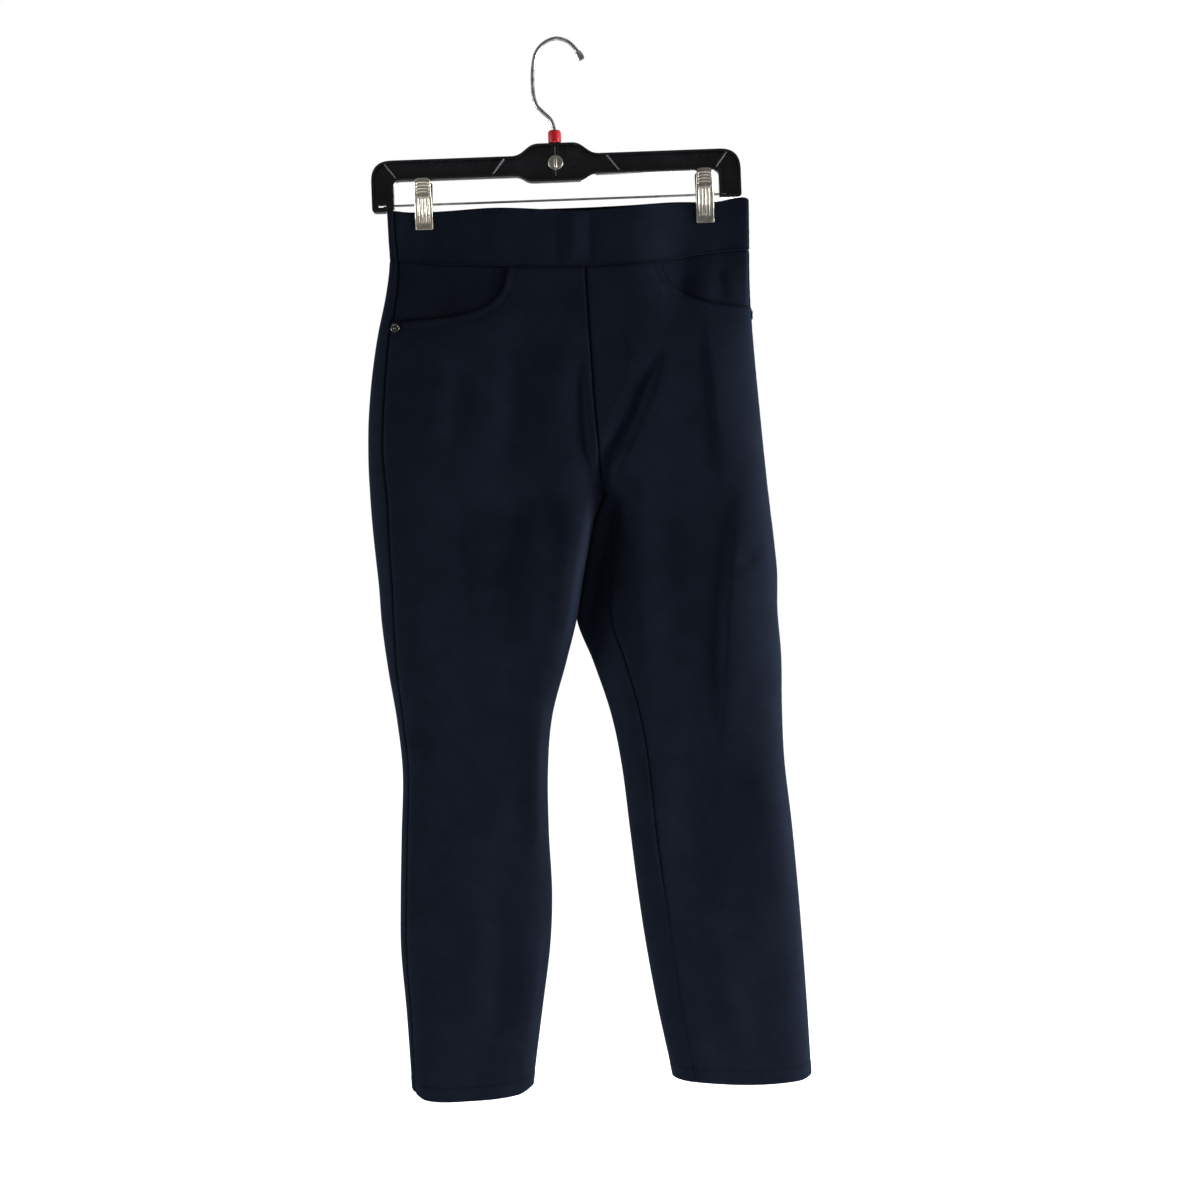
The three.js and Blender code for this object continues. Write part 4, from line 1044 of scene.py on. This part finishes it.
def slab(middle, half_size, turn, soft):
    """A block with softened edges, turned about Y; sizes are half its length along X, Y and Z."""
    hx, hy, hz = half_size
    corners = [
        (x_sign, z_sign, math.cos(a), math.sin(a))
        for x_sign, z_sign, first in ((1, 1, 0), (-1, 1, 90), (-1, -1, 180), (1, -1, 270))
        for a in np.radians(first + np.array([0, 30, 60, 90]))
    ]
    levels = [(-hy, soft), (-hy + soft * 0.3, soft * 0.3), (-hy + soft, 0)]
    levels += [(-y, inset) for y, inset in levels[::-1]]
    rings = []
    for y, inset in levels:
        ring = []
        for x_sign, z_sign, cos_a, sin_a in corners:
            x = x_sign * (hx - soft) + (soft - inset) * cos_a
            z = z_sign * (hz - soft) + (soft - inset) * sin_a
            across, up = x * math.cos(turn) + z * math.sin(turn), z * math.cos(turn) - x * math.sin(turn)
            ring.append((middle[0] + across, middle[1] + y, middle[2] + up))
        rings.append(ring)
    return loft(rings)


def channel_rib(x0, z0, x1, z1):
    """A thin rib between two places of the moulding."""
    middle = ((x0 + x1) / 2, 0, (z0 + z1) / 2)
    half_size = (RIB_HALF, RIB_DEPTH / 2, math.hypot(x1 - x0, z1 - z0) / 2)
    return slab(middle, half_size, math.atan2(x1 - x0, z1 - z0), 0.6)


def hanger_moulding(material):
    """The moulding: a rounded rim round a thin web, with ribs, the hub's channel and the rod's block."""
    deep, reach = HANGER_DEPTH / 2, RIM_WIDTH / 2
    profile = [(0.8, -deep), (0.3, -deep + 0.12), (0, -deep + 0.7), (0, deep - 0.7), (0.3, deep - 0.12),
               (0.8, deep), (1.5, deep), (1.95, deep - 0.15), (RIM_WIDTH, deep - 0.7),
               (RIM_WIDTH, -deep + 0.7), (1.95, -deep + 0.15), (1.5, -deep)]
    lines = [hanger_outline(inset) for inset, _ in profile]
    rings = [
        [(line[k][0], y, line[k][1]) for line, (_, y) in zip(lines, profile)] for k in range(len(lines[0]))
    ]
    arm_middle = HANGER_X - HANGER_HALF + ARM_WIDTH / 2
    slot = [(-175.8, -155.6), (-168.2, -155.6), (-168.2, -153.2), (-175.8, -153.2)]
    parts = [loft(rings, closed=True), plate(hanger_outline(reach), -WEB / 2, WEB / 2, [slot])]
    ribs = []
    for way in (-1, 1):
        ribs += [len(parts), len(parts) + 1]
        for x0, z0, x1 in ((49, BAR_TOP - reach, 62), (165, BAR_TOP - 3, 153)):
            parts.append(channel_rib(HANGER_X + way * x0, z0, HANGER_X + way * x1, BAR_BOTTOM + reach))
        for z0, z1 in ((HUB_TOP - 1.5, PIN_Z + 6.5), (PIN_Z - 6.5, HUB_BOTTOM + 1.5)):
            parts.append(slab((HANGER_X + way * 2.7, 0, (z0 + z1) / 2), (0.7, 4.4, abs(z0 - z1) / 2), 0, 0.3))
    block = [(arm_middle + x, z) for x, z in (
        (-9.6, -159.4), (9.6, -159.4), (9.6, -149.1), (9.1, BOSS_TOP), (-9.1, BOSS_TOP), (-9.6, -149.1)
    )]
    parts.append(plate(block, -3.5, 3.5, [slot]))
    # the four slanting ribs take the plastic's paler colour: wear along them and a painted highlight where
    # their tops catch the light
    rubbed = np.repeat([float(k in ribs) for k in range(len(parts))], [len(points) for points, _ in parts])
    piece = make_piece("hanger_moulding", parts, rubbed=rubbed)
    return finish_piece(piece, material, "black_plastic", "hanger_body")


# ---- hanger: wire, collar, pin, rod ----
HOOK_ROUTE = (
    (-4, -131), (-4, -110), (-4, -98), (-4, -87), (-7.2, -76.5), (-14.4, -68.9), (-20.0, -62.6), (-22.6, -54),
    (-23.3, -42), (-22.6, -27), (-19.4, -12.5), (-11.8, -3), (0, WIRE), (11, -1.2), (18.4, -8), (22.6, -14.6),
    (25.3, -20.2),
)


def smooth_route(points, steps):
    """A curve through the points."""
    points = np.array(points, float)
    padded = np.concatenate([[2 * points[0] - points[1]], points, [2 * points[-1] - points[-2]]])
    t = (np.arange(steps) / steps)[:, None]
    stretches = [
        0.5 * (2 * b + (c - a) * t + (2 * a - 5 * b + 4 * c - d) * t ** 2 + (3 * b - a - 3 * c + d) * t ** 3)
        for a, b, c, d in zip(padded, padded[1:], padded[2:], padded[3:])
    ]
    return np.concatenate([*stretches, points[-1:]])


def wire_about(route, first, second, sides):
    """A closed wire along a route, from its reach in two directions square to it."""
    turns = np.arange(sides) * 2 * math.pi / sides
    return loft(np.stack([route + math.cos(a) * first + math.sin(a) * second for a in turns], 1))


def tube(route, radius, flat, sides=20):
    """A tube along a route in X and Z; "flat" is its half depth."""
    ahead = unit(np.gradient(np.asarray(route, float), axis=0))
    across = unit(np.cross(ahead, (0.0, 1.0, 0.0)))
    return wire_about(route, across * radius[:, None], np.cross(across, ahead) * flat[:, None], sides)


def hook_wire(material):
    route = smooth_route(HOOK_ROUTE, 9)
    run = run_along(route)
    left = run[-1] - run
    tip = (1 - ease(8, 14, left)) * np.sqrt(np.clip(1 - ((left - 4.4) / 5.6) ** 2, 0, 1))
    end = np.sqrt(np.clip(1 - (1 - np.minimum(1, left / 1.2)) ** 2, 0.04, 1))
    route = np.stack([route[:, 0], 0 * run, route[:, 1]], -1)
    shell = tube(route, (WIRE + 0.15 + 1.5 * tip) * end, (WIRE - 0.25 * tip) * end)
    return finish_piece(make_piece("hook_wire", [shell]), material, "hook_chrome", "hook")


def arc(middle, radius, degrees):
    return [(middle[0] + radius * math.cos(a), middle[1] + radius * math.sin(a)) for a in np.radians(degrees)]


def turned(profile, middle, axis, sides=40, hollow=False):
    """A solid turned about an axis through "middle" from (radius, height), or from a profile round a bore."""
    axis = np.array(axis, float)
    side = unit(np.cross(axis, (0.0, 1.0, 0.0) if abs(axis[1]) < 0.9 else (1.0, 0.0, 0.0)))
    turns = (np.arange(sides) * 2 * math.pi / sides)[:, None]
    ways = np.cos(turns) * side + np.sin(turns) * np.cross(axis, side)
    circles = [np.array(middle) + axis * height + ways * max(radius, 0.02) for radius, height in profile]
    return loft(np.stack(circles, 1), closed=True) if hollow else loft(circles)


def hook_collar(material):
    bore, radius, half = WIRE + 0.3, 6.3, 6.3
    profile = [(bore, -half + 0.4), (bore + 0.4, -half), (radius - 1.4, -half)]
    profile += arc((radius - 1.4, -half + 1.4), 1.4, (-70, -45, -20, 0)) + [(radius + 0.1, 0)]
    profile += arc((radius - 2.2, half - 2.2), 2.2, (0, 20, 40, 60, 80))
    profile += [(radius - 2.6, half), (bore + 0.5, half), (bore, half - 0.5)]
    shell = turned(profile, (HANGER_X, 0, HUB_TOP + 0.3 + half), (0, 0, 1), 48, hollow=True)
    return finish_piece(make_piece("collar", [shell]), material, "red_plastic", "hook_collar")


def hub_pin(material):
    """The round nut in the hub, with the shank's rounded end standing out of it."""
    top = WIRE + 0.3
    profile = [(PIN_RADIUS - inset, top + height) for inset, height in (
        (0.3, 0), (0, 0.3), (0, 1.4), (0.2, 1.8), (0.6, 2.0), (1.2, 1.9), (1.7, 1.6)
    )]
    profile += [(radius, top + 1.55) for radius in (2.5, 0.5, 0.02)]
    route = np.array([(HANGER_X, -top - 1.5, PIN_Z + h) for h in np.linspace(-PIN_SHANK, PIN_SHANK, 15)])
    fall = np.sqrt(np.clip(1 - (np.linspace(-1, 1, 15)) ** 4, 0.02, 1))
    parts = [turned(profile, (HANGER_X, 0, PIN_Z), (0, -1, 0), 48), tube(route, 1.8 * fall, 1.5 * fall, 16)]
    return finish_piece(make_piece("pin", parts), material, "clip_nickel", "hub_pin")


def clip_rod(material):
    profile = [(ROD - 0.3, -ROD_HALF), (ROD, -ROD_HALF + 0.3), (ROD, ROD_HALF - 0.3), (ROD - 0.3, ROD_HALF)]
    shell = turned(profile, (HANGER_X, 0, ROD_Z), (1, 0, 0), 20)
    return finish_piece(make_piece("rod", [shell]), material, "hook_chrome", "clip_rod")


# ---- hanger: the clips ----
CLIP_TOP = -127.5
CLIP_SHEET = 1.0
CLIP_ROWS = 150
CLIP_COLUMNS = 62
JAW = PRESSED + 0.3
CLIP_LINE = table(
    "y z", (11.5, CLIP_TOP), (10.6, -136), (7.6, -147), (5.6, -156), (JAW + 0.4, -165), (JAW, CLIP_BOTTOM)
)
GRIP_RIBS = {"count": 4, "first": 5.6, "pitch": 2.9, "arch": 0.9, "depth": 0.75, "width": 0.6}
STUD = [(0.62, 0), (0.6, 0.25), (0.42, 0.5), (0.05, 0.62)]


def rounding(radius, distance):
    """How far a corner's round draws the side in, at this distance from the end."""
    return radius - np.sqrt(np.clip(radius ** 2 - np.clip(radius - distance, 0, None) ** 2, 0, None))


def clip_sheet(clip_x, width, top, bottom, face):
    """A stamped plate with rounded ends: grip ribs and grooves on the front one, a plain bow on the back."""
    front = face < 0
    z = np.linspace(top, bottom, CLIP_ROWS)
    y = along(CLIP_LINE, "z", "y", z)
    out = unit(np.stack([np.ones(CLIP_ROWS), -np.gradient(y, z)], -1))
    from_top, from_low = top - z, z - bottom
    half = mix(width / 2 - 0.9, width / 2, ease(top, -158, z)) if front else np.full(CLIP_ROWS, width / 2)
    half = half - rounding(3.4, from_top) - rounding(1.2, from_low)
    across = np.linspace(-1, 1, CLIP_COLUMNS)[:, None]
    from_side = half - np.abs(across * half)
    dent = 0.5 * np.exp(-from_side / 0.5) + 0.3 * np.exp(-np.minimum(from_top, from_low) / 0.6)
    if front:
        inside = ease(1.4, 2.2, from_side)
        arch = GRIP_RIBS["arch"] * (1 - across ** 2)
        for k in range(GRIP_RIBS["count"]):
            level = top - GRIP_RIBS["first"] - GRIP_RIBS["pitch"] * k
            dent = dent + GRIP_RIBS["depth"] * inside * bell(z - level - arch, GRIP_RIBS["width"])
        dent = dent - 0.3 * inside * bell(z - (top - 16.8), 1.3)
        span = ease(top - 18.4, top - 19.6, z) * ease(bottom + 5.5, bottom + 6.7, z)
        for place in np.linspace(-0.6, 0.6, 4):
            dent = dent + 0.7 * span * bell(across - place, 0.1)
    else:
        bow = ease(top - 6, top - 12, z) * ease(bottom + 4, bottom + 10, z)
        dent = dent + 0.45 * bow * np.exp(-((across / 0.45) ** 4))
    x, level = clip_x + across * half, 0 * dent
    surface = np.stack([x, face * (y + CLIP_SHEET - out[:, 0] * dent), z - out[:, 1] * dent], -1)
    under = np.stack([x, face * (y + level), z + level], -1)
    return loft(np.concatenate([surface, under[:, ::-1]], 1))


def clip_ear(clip_x, place, face):
    """A side ear that hangs the plate on the rod."""
    turn = np.radians(np.arange(-100, 121, 20))
    eye = [(-math.sin(a) * 3.1 * 0.98, ROD_Z - math.cos(a) * 3.1) for a in turn]
    bore = arc((0, ROD_Z), ROD + 0.15, range(0, 360, 30))
    points, faces = plate([(7.9, -146.6), *eye[::-1], (5.2, -158.4)], 0, CLIP_SHEET, [bore])
    return np.stack([clip_x + place + points[:, 1], face * points[:, 0], points[:, 2]], -1), faces


def clip_plates(name, clip_x, width, top, bottom, material, dots):
    """The front and back plates of one clip; "dots" puts a row of small studs on the front one."""
    for word, face in (("front", -1), ("back", 1)):
        parts = [clip_sheet(clip_x, width, top, bottom, face)]
        shift = 0 if face < 0 else CLIP_SHEET + 0.3
        for place in (-width / 2 + shift + 0.1, width / 2 - shift - CLIP_SHEET - 0.1):
            parts.append(clip_ear(clip_x, place, face))
        if dots and face < 0:
            for k in range(4):
                middle = (clip_x + (k - 1.5) * 2.9, face * (JAW + CLIP_SHEET - 0.05), bottom + 9.2)
                parts.append(turned(STUD, middle, (0, -1, 0), 14))
        piece = make_piece(f"clip_{name}_{word}_plate", parts, sharp=50)
        finish_piece(piece, material, "clip_nickel", f"clip_{name}_{word}")


def clip_spring(name, clip_x, width, material):
    """The torsion spring: coils on the rod and two legs that push the plates' tops apart."""
    wire, coil, turns, sides = 0.5, 2.15, 8, 8
    half = width / 2 - 3.4
    t = np.linspace(0, 1, turns * 18)
    angle = 2 * math.pi * turns * t
    radial = np.stack([0 * t, np.sin(angle), np.cos(angle)], -1)
    coils = np.stack([clip_x + mix(-half, half, t), coil * np.sin(angle), ROD_Z + coil * np.cos(angle)], -1)
    beside = np.cross(unit(np.gradient(coils, axis=0)), radial)
    parts = [wire_about(coils, wire * radial, wire * beside, sides)]
    for end, face in ((-half, -1), (half, 1)):
        leg = [(0.3 * face, ROD_Z + coil), (1.9 * face, ROD_Z + coil + 0.6), (5.2 * face, -143.5),
               (8.6 * face, -136.5)]
        route = smooth_route(leg, 6)
        points = np.insert(route, 0, clip_x + end, axis=1)
        side = np.array([1.0, 0, 0])
        other = np.cross(unit(np.gradient(points, axis=0)), side)
        parts.append(wire_about(points, wire * side, wire * other, sides))
    finish_piece(make_piece(f"clip_{name}_coil", parts), material, "clip_nickel", f"clip_{name}_spring")


# ---- trim on the cloth ----
def cloth_point(side, face, x, z, lift):
    """Places on the creased outer face, lifted off it, with the direction out of it."""
    angle = angle_of(side, face, x, z)
    points, from_edge = bare_skin(side, angle, z)
    out = outward_at(side, angle, z)
    depth = hang_folds(side, face == "front", points[..., 0], z, from_edge) - lift
    if face == "front":
        depth = depth + scoop_lip(side, points[..., 0], z)
    return points - out * depth[..., None], out


RIVET = [
    (4.1, -0.1), (4.4, 0.2), (4.5, 0.6), (4.4, 1.0), (4.1, 1.3), (3.7, 1.4), (3.3, 1.25), (2.9, 0.7),
    (2.4, 0.5), (1.9, 0.6), (1.6, 1.1), (1.2, 1.5), (0.6, 1.7), (0.05, 1.75),
]


def rivet(side, x, z, material):
    """A small domed rivet: a rim, a groove and a raised middle."""
    place, out = cloth_point(side, "front", np.array([x]), np.array([z]), 0.1)
    piece = make_piece(f"button_{side}", [turned(RIVET, place[0], out[0])], sharp=60)
    return finish_piece(piece, material, "dark_nickel", f"rivet_{side}")


FLY_STITCH = table(
    "x z", (60.3, -281.5), (59.6, -305), (56.5, -328), (47.9, -346), (39.7, -358), (31.5, -372)
)
STITCH_PITCH = 3.3
STITCH = {"Length": 2.5, "Width": 0.42, "Height": 0.3}
TACK = {"Length": 1.9, "Width": 0.5, "Height": 0.5}


def stitch_marks(side, face, x, z):
    """Evenly spaced places along a line on the cloth, as (place, along, out)."""
    points, out = cloth_point(side, face, x, z, 0.05)
    run = run_along(points)
    at = np.arange(STITCH_PITCH / 2, run[-1], STITCH_PITCH)
    lines = (points, np.gradient(points, run, axis=0), out)
    return [np.stack([np.interp(at, run, line[:, k]) for k in range(3)], -1) for line in lines]


def stitch_tree(material):
    """Geometry nodes: a rounded stitch on every point, turned along its seam."""
    tree = bpy.data.node_groups.new("stitches", "GeometryNodeTree")
    for way in ("OUTPUT", "INPUT"):
        tree.interface.new_socket("Geometry", in_out=way, socket_type="NodeSocketGeometry")
    for name in STITCH:
        tree.interface.new_socket(name, in_out="INPUT", socket_type="NodeSocketFloat")
    given, result = tree.nodes.new("NodeGroupInput").outputs, tree.nodes.new("NodeGroupOutput").inputs
    ways = [
        add_node(tree, "GeometryNodeInputNamedAttribute", {"Name": name}, data_type="FLOAT_VECTOR")
        for name in ("along", "out")
    ]
    along_seam, out = (way.outputs["Attribute"] for way in ways)
    bead = add_node(tree, "GeometryNodeMeshUVSphere", {"Segments": 8, "Rings": 6, "Radius": 0.5})
    size = first_of(
        tree, "ShaderNodeCombineXYZ", {0: given["Width"], 1: given["Height"], 2: given["Length"]}
    )
    shape = first_of(tree, "GeometryNodeTransform", {"Geometry": bead.outputs["Mesh"], "Scale": size})
    turn = first_of(tree, "FunctionNodeAlignRotationToVector", {"Vector": along_seam}, axis="Z")
    turn = first_of(
        tree, "FunctionNodeAlignRotationToVector", {"Rotation": turn, "Vector": out}, axis="Y", pivot_axis="Z"
    )
    sewn = first_of(
        tree, "GeometryNodeInstanceOnPoints",
        {"Points": given["Geometry"], "Instance": shape, "Rotation": turn},
    )
    sewn = first_of(tree, "GeometryNodeRealizeInstances", {0: sewn})
    sewn = first_of(tree, "GeometryNodeSetShadeSmooth", {0: sewn})
    feed(tree, result[0], first_of(tree, "GeometryNodeSetMaterial", {"Geometry": sewn, "Material": material}))
    return tree


def sew(name, marks, tree, material, sizes):
    """One mesh of real stitches from the marks."""
    places, ways, outs = (np.concatenate(part) for part in zip(*marks))
    mesh = bpy.data.meshes.new(name)
    mesh.from_pydata((places * MM).tolist(), [], [])
    for attribute, values in (("along", ways), ("out", outs)):
        made = mesh.attributes.new(attribute, "FLOAT_VECTOR", "POINT")
        made.data.foreach_set("vector", values.astype(np.float32).ravel())
    piece = bpy.data.objects.new(name, mesh)
    bpy.context.scene.collection.objects.link(piece)
    modifier = piece.modifiers.new("stitches", "NODES")
    modifier.node_group = tree
    for item in tree.interface.items_tree:
        if item.in_out == "INPUT" and item.name in sizes:
            modifier[item.identifier] = sizes[item.name] * MM
    sewn = bpy.data.meshes.new_from_object(piece.evaluated_get(bpy.context.evaluated_depsgraph_get()))
    piece.modifiers.clear()
    piece.data = sewn
    bpy.data.meshes.remove(mesh)
    return finish_piece(piece, material, "ponte_knit")


def scoop_marks(side):
    line_x, line_z = scoop_curve(side)
    tangent_x, tangent_z = np.gradient(line_x), np.gradient(line_z)
    size = np.hypot(tangent_x, tangent_z)
    x = line_x - INWARD[side] * STITCH_IN * tangent_z / size
    z = line_z + INWARD[side] * STITCH_IN * tangent_x / size
    s = section(side, z)
    start = s["outer"] + (s["side"] + 3) * INWARD[side]
    keep = (z < along(BAND_SEAM, "x", "z", x) - 3) & ((x - start) * INWARD[side] > 0)
    return stitch_marks(side, "front", x[keep], z[keep])


def fly_marks():
    z = np.linspace(FLY_STITCH["z"][0], FLY_STITCH["z"][-1], 90)
    return stitch_marks("left", "front", along(FLY_STITCH, "z", "x", z), z)


def hem_marks(side, face):
    s = section(side, np.array(-1000.0))
    low, high = sorted((float(s["outer"]), float(s["inner"])))
    x = np.linspace(low + 1.5, high - 1.5, 160)
    return stitch_marks(side, face, x, along(HEM_EDGE[side], "x", "z", x) + HEM_LINE + HEM / 2)


def bar_tack_marks():
    """A short dense zigzag across the foot of the fly."""
    count, start, end = 13, 25.9, 33.6
    x = np.linspace(start, end, count)
    z = -341.4 + 1.4 * (x - start) / (end - start) + np.where(np.arange(count) % 2, 0.75, -0.75)
    points, out = cloth_point("left", "front", x, z, 0.15)
    return (points[1:] + points[:-1]) / 2, np.diff(points, axis=0), out[1:]


# ---- light, floor ----
# Each light: its place and its aim in metres, its size and its power.
LIGHTS = {
    "key": ((2.6, -0.32, -0.6), (0.15, 0, -0.62), 0.9, 165),
    "fill": ((-2.6, -0.5, -0.6), (-0.1, 0, -0.6), 0.9, 55),
    "low": ((0.03, -0.72, -1.38), (0.02, 0, -1.04), 0.3, 1.9),
    "behind": ((0.7, 2.6, -0.3), (0.0, 0, -0.6), 1.2, 26),
}
LIGHT_COLOUR = (0.95, 0.98, 1.0)
# How bright the room is, from the dim side in front of the hanger (0) to the white wall behind it (1).
ROOM_SHADES = ((0, 0.14), (0.3, 0.2), (0.5, 0.34), (0.75, 0.45), (1, 0.5))
ROOM_TINT = (0.97, 0.985, 1)
ROOM_ON_CLOTH = 0.22  # how much of the room's light the matt surfaces take
FLOOR_HALF = 14.0
FLOOR_Z = -1.45


def make_lights():
    for name, (place, aim, size, power) in LIGHTS.items():
        light = bpy.data.lights.new(name, "AREA")
        light.shape = "DISK"
        light.size = size
        light.energy = power
        light.color = LIGHT_COLOUR
        lamp = bpy.data.objects.new(name, light)
        lamp.location = place
        lamp.rotation_euler = (Vector(aim) - Vector(place)).to_track_quat("-Z", "Y").to_euler()
        bpy.context.scene.collection.objects.link(lamp)


def make_world():
    """A room that is white to the camera and shaded in what the surfaces reflect."""
    world = bpy.data.worlds.new("studio")
    bpy.context.scene.world = world
    world.use_nodes = True
    tree = world.node_tree
    seen = tree.nodes["Background"]
    seen.inputs["Color"].default_value = (1, 1, 1, 1)
    where = add_node(tree, "ShaderNodeTexCoord").outputs["Generated"]
    depth = add_node(tree, "ShaderNodeSeparateXYZ", {0: where}).outputs[1]
    shade = add_node(tree, "ShaderNodeValToRGB", {0: value_range(tree, depth, -1, 1, 0, 1)})
    stops = shade.color_ramp.elements
    stops[0].position, stops[1].position = 0.0, 1.0
    for place, level in ROOM_SHADES:
        stop = stops.new(place) if 0 < place < 1 else stops[int(place)]
        stop.color = (*(level * tint for tint in ROOM_TINT), 1)
    path = add_node(tree, "ShaderNodeLightPath").outputs
    strength = value_range(tree, path["Is Diffuse Ray"], 0, 1, 1, ROOM_ON_CLOTH)
    room = first_of(tree, "ShaderNodeBackground", {"Color": shade.outputs[0], "Strength": strength})
    both = first_of(tree, "ShaderNodeMixShader", {0: path["Is Camera Ray"], 1: room, 2: seen.outputs[0]})
    feed(tree, tree.nodes["World Output"].inputs[0], both)


def make_stage():
    view = bpy.context.scene.view_settings
    view.view_transform = "Standard"
    view.look = "None"
    floor = bpy.data.objects.new("floor", bpy.data.meshes.new("floor"))
    bpy.context.scene.collection.objects.link(floor)
    corners = [(x * FLOOR_HALF, y * FLOOR_HALF, FLOOR_Z) for x, y in ((-1, -1), (1, -1), (1, 1), (-1, 1))]
    floor.data.from_pydata(corners, [], [(0, 1, 2, 3)])
    paint, tree, shader = new_material(
        "pale floor", Base_Color=(0.8, 0.8, 0.8, 1), Roughness=0.85, Specular_IOR_Level=0.2,
        Emission_Color=(1, 1, 1, 1),
    )
    feed(tree, shader["Emission Strength"], add_node(tree, "ShaderNodeLightPath").outputs["Is Camera Ray"])
    floor.data.materials.append(paint)


# ---- making it ----
make_camera()
make_lights()
make_world()
make_stage()

knit = knit_group()
handling = wear_group()
cloth = knit_material(knit, "navy ponte knit", (0.0050, 0.0069, 0.0128), (0.0086, 0.0116, 0.0205), 0.35)
thread = knit_material(knit, "navy thread", (0.0062, 0.0084, 0.0150), (0.0095, 0.0126, 0.0215), 0.1)
# worn: the ribs' paler grey, partly wear and partly a painted highlight
plastic = hard_material(
    handling, "black moulded plastic", (0.0028, 0.0028, 0.0038), (0.0065, 0.0065, 0.008),
    rough=(0.2, 0.32), scratch=0.1, smudge=45.0, worn=(0.12, 0.12, 0.125), Specular_IOR_Level=0.5,
)
nickel = hard_material(
    handling, "satin nickel", (0.56, 0.50, 0.40), (0.70, 0.64, 0.53),
    rough=(0.26, 0.4), scratch=0.2, smudge=220.0, Metallic=1.0, Specular_Tint=(0.8, 0.76, 0.68, 1),
)
# A darker copy of the satin nickel. On the left clip it is painted shade, since both clips are of the same
# nickel; the hub's pin has it too.
darker_nickel = hard_material(
    handling, "darker nickel", (0.34, 0.31, 0.265), (0.47, 0.435, 0.38),
    rough=(0.3, 0.44), scratch=0.25, smudge=220.0, Metallic=1.0, Specular_Tint=(0.6, 0.56, 0.5, 1),
)
chrome = hard_material(
    handling, "dull chrome", (0.30, 0.285, 0.265), (0.52, 0.505, 0.48),
    rough=(0.24, 0.38), scratch=0.15, smudge=160.0, Metallic=1.0, Specular_Tint=(0.38, 0.37, 0.35, 1),
)
dark_nickel = hard_material(
    handling, "dark nickel", (0.05, 0.048, 0.046), (0.12, 0.115, 0.11),
    rough=(0.12, 0.22), scratch=0.1, smudge=400.0, Metallic=1.0,
)
red = hard_material(
    handling, "red plastic", (0.42, 0.004, 0.014), (0.54, 0.008, 0.022),
    rough=(0.22, 0.34), scratch=0.1, smudge=120.0,
    Specular_IOR_Level=0.5, Coat_Weight=0.3, Coat_Roughness=0.15,
)

for side in ("right", "left"):
    for face in ("front", "back"):
        leg_panel(side, face, cloth)
    pocket_facing(side, cloth)
for face in ("front", "back"):
    waistband(face, cloth)

hanger_moulding(plastic)
hook_wire(chrome)
hook_collar(red)
hub_pin(darker_nickel)
clip_rod(chrome)
# the left clip has the darker copy of the nickel as painted shade
for name, plate_material, *row in zip(("right", "left"), (nickel, darker_nickel), *CLIPS.values()):
    clip_plates(name, *row, plate_material, name == "left")
    clip_spring(name, *row[:2], chrome)

rivet("right", -163.2, -273.0, dark_nickel)
rivet("left", 180.2, -271.5, dark_nickel)

stitches = stitch_tree(thread)
marks = [scoop_marks("right"), scoop_marks("left"), fly_marks()]
marks += [hem_marks(side, face) for side in ("right", "left") for face in ("front", "back")]
sew("stitching", marks, stitches, thread, STITCH)
sew("bar_tack", [bar_tack_marks()], stitches, thread, TACK)
